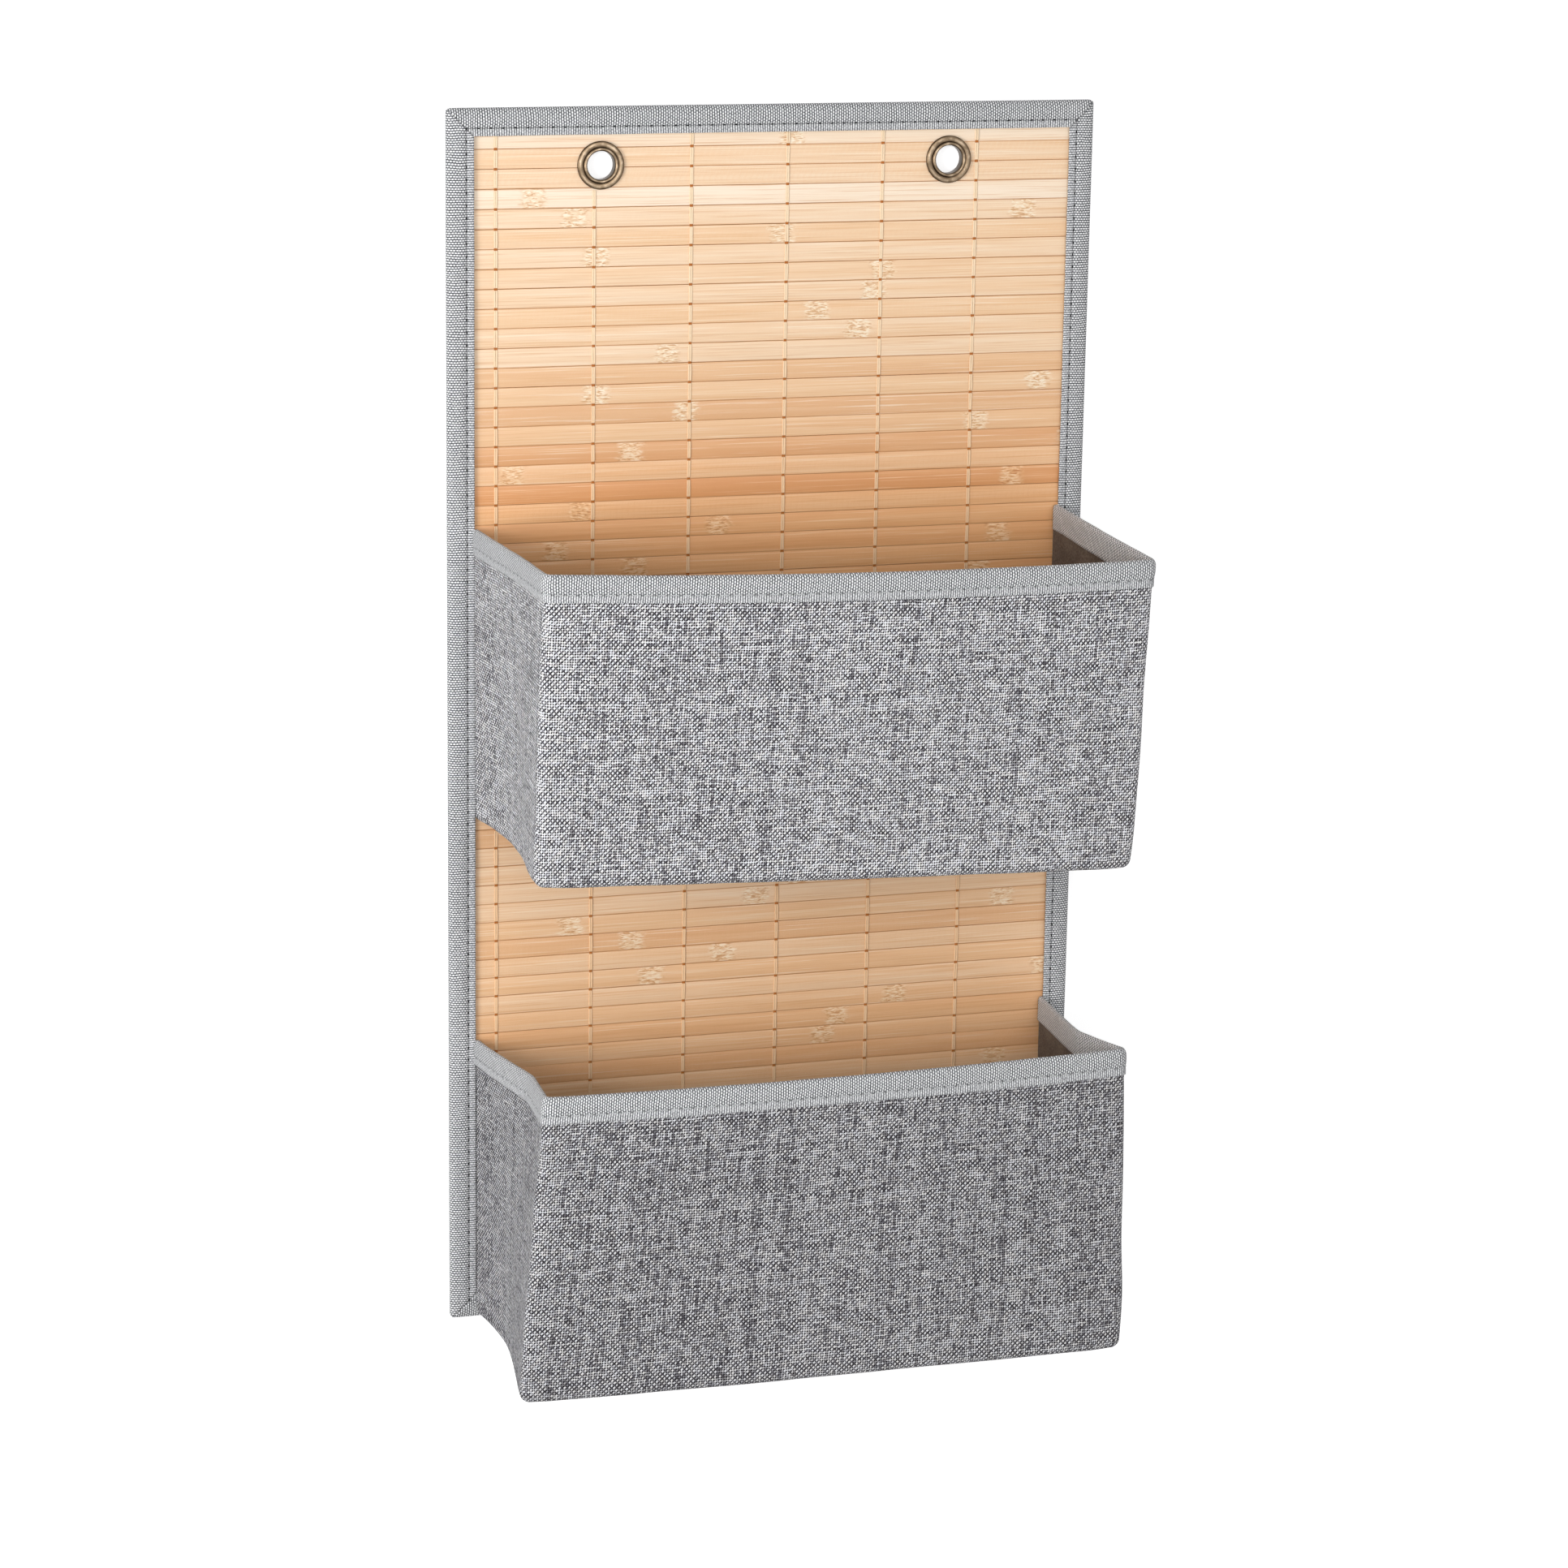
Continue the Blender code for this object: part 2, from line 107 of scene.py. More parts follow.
# Woven tape
TAPE_THICKNESS = 0.55 * MM
TAPE_STITCH_FROM_EDGE = 4.0 * MM
STITCH_PITCH = 6.5 * MM
STITCH_LENGTH = 4.6 * MM
STITCH_RADIUS = 0.28 * MM
STITCH_RINGS = 7
STITCH_SIDES = 6
STITCH_SUNK = 0.26 * MM
STITCH_OUT = 0.05 * MM
TAPE_PUCKER = 0.14 * MM
TAPE_WAVE = 0.10 * MM
TAPE_COLUMN = 1.6 * MM
MITRE_LIP = 0.45 * MM
MITRE_LIP_REACH = 3 * MM
MITRE_OVER = 0.30 * MM
CORNER_TIP_RADIUS = 2.2 * MM
BORDER_FOLD_REACH = 2.4 * MM
BORDER_FRONT_ROWS = 18
BORDER_DENT = 0.32 * MM
BORDER_CROWN = 0.35 * MM
RIM_TAPE_WIDTH = 13.4 * MM
RIM_FOLD_REACH = 2.3 * MM
RIM_DENT = 0.22 * MM
RIM_CROWN = 0.25 * MM

# Eyelets
EYELET_HOLE_RADIUS = 7.3 * MM
EYELET_FLANGE_RADIUS = 12.4 * MM
EYELET_ROLL_WIDTH = 2.0 * MM
EYELET_ROLL_HEIGHT = 2.0 * MM
EYELET_BRIM_HEIGHT = 1.3 * MM
EYELET_EDGE = 0.5 * MM
EYELET_VALLEY = 1.0 * MM
EYELET_WALL = 0.6 * MM
EYELET_CLENCH = 1.6 * MM
EYELET_SEAT = 0.3 * MM
BORE_RADIUS = EYELET_HOLE_RADIUS + EYELET_WALL + 0.3 * MM
BORE_LENGTH = 20 * MM
ROUND_STEPS = 96
SHARP_EDGE = 50

# Pockets
POCKET_DEPTH = 127 * MM
POCKET_HEIGHT = 157 * MM
POCKET_BACK_HALF = PANEL_HALF - TAPE_INNER
POCKET_RIM_HALF = 159 * MM
POCKET_BOTTOM_HALF = 154.5 * MM
POCKET_EDGE_RADIUS = 5.0 * MM
SPLIT_DEPTH = 120 * MM
POCKET_START = 0.3 * MM
MAT_CONTACT = -1.45 * MM
CLOTH_THICKNESS = 0.9 * MM
LINING_THICKNESS = 0.6 * MM
FRONT_STACK = 3.6 * MM
SIDE_STACK = 1.8 * MM
BOARD_DEPTHS = (1.2 * MM, 2.7 * MM)
BOARD_MARGIN = 5 * MM
TAPE_LAYER = 0.9 * MM
FLAT_GUSSET_SHARE = 0.35
CREASE_SOFTNESS = 0.07
TUCK_AT = 0.42
TUCK_SOFTNESS = 0.25
SIDE_COLUMNS = 50
CORNER_COLUMNS = 7
FRONT_COLUMNS = 131
WALL_ROWS = 60
EDGE_ROWS = 8
CORNER_DROOP = 0.8 * MM
CORNER_DROOP_REACH = 11 * MM
CLOTH_WAVE = 0.5 * MM
PULL_GROWTH = 1.5
# How each pocket's cloth has given. The pulls are those of its front corners, left and right: (x, z) in millimetres
POCKETS = {
    "upper": {
        "cloth": "upper_cloth", "crease": 1.2 * MM, "tuck": 5.5 * MM, "crease_at": 0.60,
        "bow": 4.0 * MM, "sag": 2.0 * MM,
        "rim_pull": ((3.5, 0), (9, -6.6)), "bottom_pull": ((-7.5, -3.5), (7, -15)),
    },
    "lower": {
        "cloth": "lower_cloth", "crease": 7 * MM, "tuck": 5 * MM, "crease_at": 0.62,
        "bow": 3.0 * MM, "sag": 1.5 * MM,
        "rim_pull": ((4, 7), (2, 8)), "bottom_pull": ((-15, -2), (11, -5)),
    },
}
# Keeps the crossings of one row of the weave apart from the next row's, where each has a random number
CROSSINGS_APART = 61.0

# Camera, fitted to the slats, the border's corners and the pockets' rims in the photograph
PHOTO_WIDTH = 1932
FOCAL_PIXELS = 5376
SENSOR_WIDTH = 36
CAMERA_PLACE = Vector((-678, -2176, 238)) * MM
CAMERA_YAW = 17.56
CAMERA_PITCH = 14.08
CAMERA_ROLL = -0.90


# Meshes


def stacked(*parts):
    """Numbers and arrays of matching shapes, side by side along a new last axis."""
    return np.stack(np.broadcast_arrays(*parts), -1)


def swell(away, reach):
    """1 where away is 0, and fading out over reach."""
    return np.exp(-((away / reach) ** 2))


def waves(points, seed, shortest, longest, count=7):
    """A smooth pseudo-random field in -1 to 1 at each of the points, made of sine waves."""
    draw = random.Random(seed)
    total = 0
    for _ in range(count):
        length = draw.uniform(shortest, longest)
        direction = Vector((draw.gauss(0, 1), draw.gauss(0, 1), draw.gauss(0, 1))).normalized()
        phase = draw.uniform(0, 2 * math.pi)
        total = total + np.sin(points @ np.array(direction) * (2 * math.pi / length) + phase)
    return total / count ** 0.5 / 1.6


def lengths_along(points):
    """Distance along a line of points from its first one."""
    steps = np.linalg.norm(np.diff(points, axis=0), axis=1)
    return np.concatenate([[0], np.cumsum(steps)])


def ring_angles(steps):
    return np.linspace(0, 2 * math.pi, steps, endpoint=False)


def grid_mesh(name, grids, uvs=None, closed_rows=False, closed_columns=False, capped=False):
    """A smooth-shaded mesh of grids of points, rows by columns. uvs has their cloth coordinates, in metres."""
    faces, start = [], 0
    for grid in grids:
        rows, columns = grid.shape[:2]
        i, j = np.mgrid[: rows if closed_rows else rows - 1, : columns if closed_columns else columns - 1]
        below, beside = (i + 1) % rows, (j + 1) % columns
        quads = [i * columns + j, below * columns + j, below * columns + beside, i * columns + beside]
        faces += (np.stack(quads, -1).reshape(-1, 4) + start).tolist()
        if capped:
            end = np.arange(rows) * columns + start
            faces += [end.tolist(), (end + columns - 1)[::-1].tolist()]
        start += rows * columns
    mesh = bpy.data.meshes.new(name)
    mesh.from_pydata(np.concatenate([grid.reshape(-1, 3) for grid in grids]).tolist(), [], faces)
    if uvs:
        uv = np.concatenate([grid.reshape(-1, 2) for grid in uvs]).astype(np.float32)
        corners = np.zeros(len(mesh.loops), np.int32)
        mesh.loops.foreach_get("vertex_index", corners)
        mesh.uv_layers.new(name="cloth").uv.foreach_set("vector", uv[corners].ravel())
    mesh.shade_smooth()
    return mesh


def joined(name, grids, closed=False):
    """One mesh of several grids, each (points, uv), sewn where they meet. If closed, its faces look outwards."""
    mesh = grid_mesh(name, *zip(*grids))
    form = bmesh.new()
    form.from_mesh(mesh)
    bmesh.ops.remove_doubles(form, verts=form.verts, dist=WELD)
    if closed:
        bmesh.ops.recalc_face_normals(form, faces=form.faces)
    form.to_mesh(mesh)
    form.free()
    return mesh


def coordinates(mesh):
    co = np.zeros(len(mesh.vertices) * 3)
    mesh.vertices.foreach_get("co", co)
    return co.reshape(-1, 3)


def add_vectors(mesh, name, *columns):
    """A point attribute that a material reads, from three columns of numbers."""
    values = stacked(*columns).astype(np.float32)
    mesh.attributes.new(name, "FLOAT_VECTOR", "POINT").data.foreach_set("vector", values.ravel())


def add_object(name, data):
    obj = bpy.data.objects.new(name, data)
    bpy.context.scene.collection.objects.link(obj)
    return obj


def piece(name, mesh, material, stands_for=(), body="back_panel"):
    obj = add_object(name, mesh)
    mesh.materials.append(materials[material])
    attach(obj, body)
    if stands_for:
        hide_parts(*stands_for)
    return obj


def modified(obj):
    """The object's mesh with its modifiers applied."""
    mesh = bpy.data.meshes.new_from_object(obj.evaluated_get(bpy.context.evaluated_depsgraph_get()))
    mesh.name = obj.data.name
    return mesh


def thicken(obj, thickness):
    """Gives a sheet its thickness, behind the side that its faces look to, and applies it."""
    solid = obj.modifiers.new("thickness", "SOLIDIFY")
    solid.thickness = thickness
    solid.offset = -1
    mesh = modified(obj)
    obj.modifiers.remove(solid)
    obj.data = mesh


def lathe(name, profile, center):
    """Turns a closed profile of (radius, y) about an axis through center along Y."""
    angles = ring_angles(ROUND_STEPS)
    radius, y = np.array(profile).T[..., None]
    points = stacked(center.x + radius * np.cos(angles), y, center.z + radius * np.sin(angles))
    return grid_mesh(name, [points], closed_rows=True, closed_columns=True)


def bored(mesh):
    """The mesh with a hole for each eyelet's barrel, and with sharp edges."""
    body = add_object("bored", mesh)
    cutters = []
    for center in eyelet_centers():
        form = bmesh.new()
        bmesh.ops.create_cone(
            form, cap_ends=True, segments=ROUND_STEPS, radius1=BORE_RADIUS, radius2=BORE_RADIUS, depth=BORE_LENGTH,
            matrix=Matrix.Translation(center) @ Matrix.Rotation(math.radians(90), 4, "X"),
        )
        tool = bpy.data.meshes.new("bore")
        form.to_mesh(tool)
        form.free()
        cutters.append(add_object("bore", tool))
        cut = body.modifiers.new("bore", "BOOLEAN")
        cut.object = cutters[-1]
        cut.solver = "EXACT"
    made = modified(body)
    made.set_sharp_from_angle(angle=math.radians(SHARP_EDGE))
    for obj in [body, *cutters]:
        bpy.data.objects.remove(obj)
    return made


def eyelet_centers():
    boxes = (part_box("eyelet_" + side) for side in ("left", "right"))
    return [(low + high) / 2 for low, high in boxes]


def make_stitches(name, stitches, body="back_panel"):
    """Capsule-shaped stitches, each given as its middle, its direction and the way outwards."""
    turn = np.linspace(0, math.pi, STITCH_RINGS)[:, None, None]
    around = ring_angles(STITCH_SIDES)[:, None]
    grids = []
    for middle, direction, outward in stitches:
        direction, outward = Vector(direction).normalized(), Vector(outward).normalized()
        ring = np.cos(around) * np.array(outward) + np.sin(around) * np.array(direction.cross(outward))
        axis = -np.cos(turn) * STITCH_LENGTH / 2 * np.array(direction)
        grids.append(np.array(middle) + axis + STITCH_RADIUS * np.sqrt(np.sin(turn) + 1e-6) * ring)
    return piece(name, grid_mesh(name, grids, closed_columns=True), "stitch", body=body)


# Materials


class Value:
    """A socket of a graph. Its sums, products and so on with numbers and other values are Math nodes."""

    def __init__(self, graph, socket):
        self.graph = graph
        self.socket = socket

    def __abs__(self):
        return self.graph.math("ABSOLUTE", self)


def operator(operation, number_first=False):
    def apply(value, other):
        pair = (other, value) if number_first else (value, other)
        return value.graph.math(operation, *pair)

    return apply


Value.__add__ = Value.__radd__ = operator("ADD")
Value.__sub__ = operator("SUBTRACT")
Value.__rsub__ = operator("SUBTRACT", number_first=True)
Value.__mul__ = Value.__rmul__ = operator("MULTIPLY")
Value.__truediv__ = operator("DIVIDE")
Value.__mod__ = operator("FLOORED_MODULO")


class Graph:
    """A node tree with short ways to add nodes. What they are given is a number, a colour or a Value."""

    def __init__(self, tree):
        self.tree = tree

    def put(self, socket, given):
        if isinstance(given, Value):
            self.tree.links.new(given.socket, socket)
        elif isinstance(given, tuple):
            socket.default_value = (*given, 1.0)
        else:
            socket.default_value = given

    def node(self, kind, given=(), output=0, **settings):
        """Adds a node. given fills its inputs, in their order or by their keys. Returns one of its outputs."""
        node = self.tree.nodes.new(kind)
        for key, setting in settings.items():
            setattr(node, key, setting)
        for key, value in given.items() if isinstance(given, dict) else enumerate(given):
            self.put(node.inputs[key], value)
        return Value(self, node.outputs[output]) if node.outputs else None

    def math(self, operation, *values):
        return self.node("ShaderNodeMath", values, operation=operation)

    def vector(self, x=0.0, y=0.0, z=0.0):
        return self.node("ShaderNodeCombineXYZ", (x, y, z))

    def split(self, vector):
        first = self.node("ShaderNodeSeparateXYZ", (vector,))
        return [Value(self, socket) for socket in first.socket.node.outputs]

    def attribute(self, name):
        return self.node("ShaderNodeAttribute", output="Vector", attribute_name=name)

    def cloth(self):
        return self.split(self.node("ShaderNodeUVMap", uv_map="cloth"))[:2]

    def noise(self, vector, scale=1.0, detail=2.0, roughness=0.5, distortion=0.0):
        given = {"Vector": vector, "Scale": scale, "Detail": detail, "Roughness": roughness, "Distortion": distortion}
        return self.node("ShaderNodeTexNoise", given)

    def random(self, value):
        return self.node("ShaderNodeTexWhiteNoise", {"W": value}, noise_dimensions="1D")

    def ramp(self, value, *stops):
        """Each stop is (place, red, green, blue)."""
        color = self.node("ShaderNodeValToRGB", (value,))
        band = color.socket.node.color_ramp
        for _ in stops[2:]:
            band.elements.new(0.5)
        for element, (place, *rgb) in zip(band.elements, stops):
            element.position = place
            element.color = (*rgb, 1.0)
        return color

    def range(self, value, low, high, to_low=0.0, to_high=1.0):
        return self.node("ShaderNodeMapRange", (value, low, high, to_low, to_high), interpolation_type="SMOOTHSTEP")

    def mix(self, share, a, b, blend="MIX"):
        return self.node("ShaderNodeMix", {0: share, 6: a, 7: b}, output=2, data_type="RGBA", blend_type=blend)

    def blend(self, share, a, b):
        """a where share is 0 and b where it is 1, for plain values."""
        return a + share * (b - a)

    def lobe(self, value):
        """A thread's round section: 0 at whole values and 1 halfway between them."""
        return abs(self.math("SINE", value * math.pi))


class Surface(Graph):
    """A Principled material."""

    def __init__(self, name, roughness, specular=0.5, metallic=0.0, sheen=0.0):
        self.material = bpy.data.materials.new(name)
        self.material.use_nodes = True
        super().__init__(self.material.node_tree)
        self.inputs = self.tree.nodes["Principled BSDF"].inputs
        self.inputs["Roughness"].default_value = roughness
        self.inputs["Specular IOR Level"].default_value = specular
        self.inputs["Metallic"].default_value = metallic
        self.inputs["Sheen Weight"].default_value = sheen

    def finish(self, color, height, distance=0.1 * MM, strength=1.0, roughness=None):
        self.put(self.inputs["Base Color"], color)
        bump = self.node("ShaderNodeBump", {"Strength": strength, "Distance": distance, "Height": height})
        self.put(self.inputs["Normal"], bump)
        if roughness is not None:
            self.put(self.inputs["Roughness"], roughness)
        return self.material


def melange_cloth(name, shade, depth):
    """Open plain weave of slubby threads, pale and dark by turns along their length. Painted shade darkens each
    thread towards its sides, and the gaps between threads to near-black.

    shade dims the palest threads, and depth above 1 darkens the others more than those. A painted light-and-shade
    diagonal, running up to the right, stands for light from the upper left on the crossings' relief.
    """
    warp_pitch, weft_pitch, wander = 1.26 * MM, 1.34 * MM, 1.7 * MM
    g = Surface(name, roughness=0.92, specular=0.15, sheen=0.08)
    u, v = g.cloth()
    drift_u, drift_v = (
        g.noise(place, scale=1 / (12 * MM), detail=4.0, roughness=0.55)
        for place in (g.vector(u, v), g.vector(v, u, 0.7))
    )
    u, v = u + (drift_u - 0.5) * wander, v + (drift_v - 0.5) * wander
    a, b = u / warp_pitch, v / weft_pitch
    warp, warp_crest, warp_tone = cloth_thread(g, a, b, 3.1, 0.26)
    weft, weft_crest, weft_tone = cloth_thread(g, b, a, 9.7, 0.14)
    column, row = g.math("FLOOR", a), g.math("FLOOR", b)
    side = (column + row) % 2.0 * -1.1 + 0.55
    warp_height, weft_height = warp + side * weft_crest, weft - side * warp_crest
    tone = g.blend(g.math("GREATER_THAN", warp_height, weft_height), weft_tone, warp_tone + 0.03)
    height = g.math("MAXIMUM", warp_height, weft_height)
    # The crossings' painted light and shade, stronger along one diagonal than the other.
    along, against = (g.math("COSINE", way * math.pi) for way in (a - b, a + b))
    patch = g.range(g.noise(g.vector(u, v, 0.3), scale=1 / (6 * MM)), 0.38, 0.58, 0.45, 1.0)
    slant_light_and_shade = (along - against * 0.16) * patch
    speck = g.random(row * CROSSINGS_APART + column)
    # Painted shade: darker towards each thread's sides, by the height of its round section.
    level = g.range(tone, 0.22, 0.74, 0.20, 0.90) * g.range(height, 0.25, 1.20, 0.10, 1.28)
    level = level * (slant_light_and_shade * 0.60 + 1.0) * (speck * 0.76 + 0.62)
    color = g.ramp(
        level,
        (0.0, 0.012, 0.011, 0.014),
        (0.22 * depth, 0.120, 0.113, 0.130),
        (0.50 * depth, 0.50, 0.495, 0.52),
        (0.74 * depth, 0.93, 0.93, 0.95),
    )
    warm, cool = (shade, shade * 0.98, shade * 0.955), (shade * 0.97, shade * 0.975, shade)
    hue = g.ramp(g.noise(g.vector(u, v, 0.9), scale=1 / (3.5 * MM)), (0.38, *warm), (0.60, *cool))
    color = g.mix(1.0, color, hue, "MULTIPLY")
    # Painted shade: the gaps between threads, near-black.
    hole = g.random(g.math("ROUND", b) * CROSSINGS_APART + (g.math("ROUND", a) + 0.5))
    gap = (1.0 - warp_crest) * (1.0 - weft_crest) * (slant_light_and_shade * -0.85 + 1.0) * (hole * 1.5 + 0.45)
    color = g.mix(g.range(gap, 0.04, 0.25), color, (0.006, 0.005, 0.006))
    return g.finish(color, height, distance=0.42 * MM, strength=0.9)


def cloth_thread(g, across, along, seed, spread):
    """Round section, crest and tone of the threads of one direction. Both places are counted in threads."""
    number = g.math("FLOOR", across)
    off = g.math("FRACT", across) - 0.5
    slub = g.noise(g.vector(number * 5.17, along * 0.4, seed), detail=1.0)
    section = off * off * g.range(slub, 0.35, 0.65, -4.8, -2.2) + 0.8
    crest = g.math("COSINE", off * math.pi)
    tone = g.noise(g.vector(number * 7.31, along * 0.14, seed), detail=3.0)
    return section, crest, tone + (g.random(number + seed) - 0.5) * spread


def woven_tape(name, needle_shade):
    """Ribbed tape: staggered pale beads, with plain ribs outside the stitches. Its colour follows the relief, with
    painted shade in the grooves and the needle holes and along the stitch line.
    """
    rib, bead = 1.25 * MM, 1.5 * MM
    g = Surface(name, roughness=0.75, specular=0.2, sheen=0.15)
    u, v = g.cloth()
    a = u / rib + g.noise(g.vector(u, v), scale=1 / (11 * MM), detail=1.0) * 1.2
    b = v / bead + g.math("FLOOR", a) % 2.0 * 0.5
    ribs, beads = g.lobe(a), g.lobe(b)
    lip = g.range(v, TAPE_STITCH_FROM_EDGE - 0.3 * MM, TAPE_STITCH_FROM_EDGE + 0.3 * MM, 1.0, 0.0)
    height = g.blend(lip, ribs * (beads * 0.62 + 0.38), ribs * (beads * 0.30 + 0.70) * 0.70 + 0.12)
    fibre = g.noise(g.vector(u, v, 0.2), scale=1 / (1.3 * MM))
    # Painted shade: the colour darkens with the relief, to near-black in the grooves between beads.
    color = g.ramp(
        height + (fibre - 0.5) * 0.5,
        (0.14, 0.045, 0.047, 0.052),
        (0.42, 0.22, 0.225, 0.24),
        (0.66, 0.66, 0.665, 0.68),
        (0.86, 0.94, 0.94, 0.945),
    )
    # Painted shade in the needle holes, and a painted shadow along the stitch line.
    along = (g.math("FRACT", u / STITCH_PITCH) - 0.5) * STITCH_PITCH
    across = v - TAPE_STITCH_FROM_EDGE
    narrow = across * 1.5
    hole = g.range(g.math("SQRT", along * along + narrow * narrow), 0.60 * MM, 1.00 * MM, 1.0, 0.0)
    stitch_line_shadow = g.range(abs(across), 0.25 * MM, 0.8 * MM, 0.45, 0.0)
    color = g.mix(g.math("MAXIMUM", hole, stitch_line_shadow) * needle_shade, color, (0.010, 0.010, 0.012))
    return g.finish(color, height - hole * 2.0, distance=0.25 * MM, strength=0.6)


def bamboo():
    """Split bamboo: fine grain along each slat, its own tone for each slat and a speckled band at each node.

    Slats are counted from the top. Painted shade by slat number: those further down are deeper in tone, and those
    behind the pockets' fronts are more orange.
    """
    g = Surface("bamboo", roughness=0.42)
    x, z, number = g.split(g.attribute("slat"))
    knot_a, knot_b, _ = g.split(g.attribute("knots"))
    shift = number * 3.7
    # A random tone for each slat, plus painted shade that deepens with the slat's number down the mat.
    own = g.random(number) + (g.range(number, 4, 18, -0.10, 0.70) - g.range(number, 24, 34, 0.0, 0.26))
    broad = g.noise(g.vector(x * 6.0, z * 240.0, shift), detail=3.0)
    grain = g.noise(g.vector(x * 14.0, z * 1150.0, shift), detail=4.0, roughness=0.62)
    fibre = g.noise(g.vector(x * 26.0, z * 2600.0, shift), roughness=0.6)
    color = g.ramp(
        own * 0.40 + broad * 0.40,
        (0.15, 0.955, 0.795, 0.625),
        (0.35, 0.910, 0.690, 0.485),
        (0.58, 0.870, 0.580, 0.345),
        (0.84, 0.760, 0.425, 0.215),
    )
    color = g.mix(g.range(grain, 0.50, 0.70) * 0.60, color, (0.74, 0.43, 0.215))
    color = g.mix(g.range(grain, 0.46, 0.30) * 0.60, color, (0.97, 0.81, 0.64))
    color = g.mix(g.range(fibre, 0.52, 0.74) * 0.22, color, (0.68, 0.39, 0.19))
    ragged = g.noise(g.vector(x * 120.0, z * 420.0, shift)) - 0.5
    near = g.math("MINIMUM", abs(knot_a), abs(knot_b)) + ragged * (9 * MM)
    knot = g.range(near, 4.0 * MM, 8.5 * MM, 1.0, 0.0)
    speckle_at = g.vector(x * 260.0, z * 1300.0 + ragged * 1.2, shift)
    speckle = g.noise(speckle_at, detail=2.5, roughness=0.6, distortion=0.8)
    knot_color = g.ramp(
        speckle,
        (0.36, 0.58, 0.29, 0.12),
        (0.46, 0.82, 0.55, 0.32),
        (0.54, 0.93, 0.74, 0.52),
        (0.62, 0.99, 0.88, 0.72),
    )
    color = g.mix(knot * 0.80, color, knot_color)
    # Painted shade inside the pockets: the slats behind their fronts are more orange.
    pocket_shade = g.range(number, 15, 20) - g.range(number, 32, 36, 0.0, 0.75) + g.range(number, 43, 49, 0.0, 0.35)
    color = g.mix(pocket_shade, color, (1.0, 0.79, 0.60), "MULTIPLY")
    # Painted shade: orange-brown along each slat's top and bottom edges, in the grooves between slats.
    color = g.mix(g.range(abs(z), 4.62 * MM, 5.00 * MM) * 0.75, color, (0.62, 0.31, 0.13))
    height = grain * 0.6 + speckle * knot * 1.6
    return g.finish(color, height, distance=0.12 * MM, strength=0.5, roughness=fibre * 0.3 + 0.28)


def warp_thread():
    """Pale twisted thread with painted shade: darker at its sides, its back and its twist's grooves, deeper and more
    orange further down, and brown where it dips between slats.
    """
    g = Surface("warp_thread", roughness=0.75, specular=0.25, sheen=0.1)
    along, around, dip = g.split(g.attribute("thread"))
    twist = g.lobe(along / (0.9 * MM) + around)
    fibre = g.noise(g.vector(along / (1.4 * MM), around, 0.0))
    # Painted shade: paler on the thread's front, darker at its sides, its back and in the grooves of its twist.
    tone = twist * 0.2 + fibre * 0.5 + 0.42 - abs(around - 1.5) * 0.75
    color = g.ramp(tone, (0.10, 0.82, 0.55, 0.31), (0.42, 0.88, 0.64, 0.41), (0.75, 0.93, 0.74, 0.52))
    # Painted shade, deeper further down, as on the slats.
    color = g.mix(g.range(along, -0.05, -0.20), color, (0.98, 0.84, 0.72), "MULTIPLY")
    # Painted shade, brown, where the thread dips into the gap between slats.
    color = g.mix(g.range(dip, 0.12, 0.6), color, (0.46, 0.15, 0.03))
    return g.finish(color, twist, distance=0.12 * MM, strength=0.5)


def felted_cloth(name, dark, pale, emboss):
    """Non-woven cloth with short fibres and a shallow embossed net of dots, emboss apart."""
    g = Surface(name, roughness=0.95, specular=0.1, sheen=0.1)
    u, v = g.cloth()
    fibre = g.noise(g.vector(u, v), scale=1 / (1.3 * MM), detail=4.0, roughness=0.7, distortion=0.6)
    cloud = g.noise(g.vector(u, v, 0.4), scale=1 / (14 * MM))
    color = g.ramp(fibre * 0.75 + cloud * 0.25, (0.36, *dark), (0.62, *pale))
    height = fibre + g.lobe(u / emboss) * g.lobe(v / emboss) * 0.4
    return g.finish(color, height, distance=0.2 * MM, strength=0.6)


def antique_brass():
    """Brown-toned brass, worn bright and with a painted highlight on its crests, dark with patina in its valleys,
    with a fine turned grain.
    """
    g = Surface("antique_brass", roughness=0.3, metallic=1.0)
    wear_and_highlight, angle, radius = g.split(g.attribute("turned"))
    around = g.vector(g.math("COSINE", angle), g.math("SINE", angle), radius / (9 * MM))
    cloud = g.noise(around, scale=3.0, detail=4.0)
    grain = g.noise(g.vector(angle * 1.5, radius * 6000.0))
    # Crests are pale from worn metal and a painted highlight; valleys are dark with patina.
    color = g.ramp(
        wear_and_highlight * 0.50 + (cloud - 0.25) * 0.75 + (grain - 0.5) * 0.25,
        (0.08, 0.060, 0.038, 0.020),
        (0.35, 0.120, 0.080, 0.048),
        (0.62, 0.23, 0.165, 0.105),
        (0.92, 0.64, 0.50, 0.36),
    )
    return g.finish(color, grain, distance=0.02 * MM, strength=0.3, roughness=cloud * 0.25 + 0.2)


def grey_thread():
    g = Surface("grey_thread", roughness=0.7, specular=0.25)
    twist = g.noise(g.attribute("position"), scale=1 / (0.5 * MM), detail=1.0)
    color = g.ramp(twist, (0.35, 0.36, 0.365, 0.38), (0.65, 0.66, 0.665, 0.68))
    return g.finish(color, twist, distance=0.05 * MM)


def card():
    g = Surface("card_board", roughness=0.9, specular=0.2)
    fleck = g.noise(g.vector(*g.cloth()), scale=1 / (1.5 * MM), detail=3.0)
    return g.finish(g.ramp(fleck, (0.35, 0.33, 0.25, 0.16), (0.65, 0.52, 0.42, 0.30)), fleck)


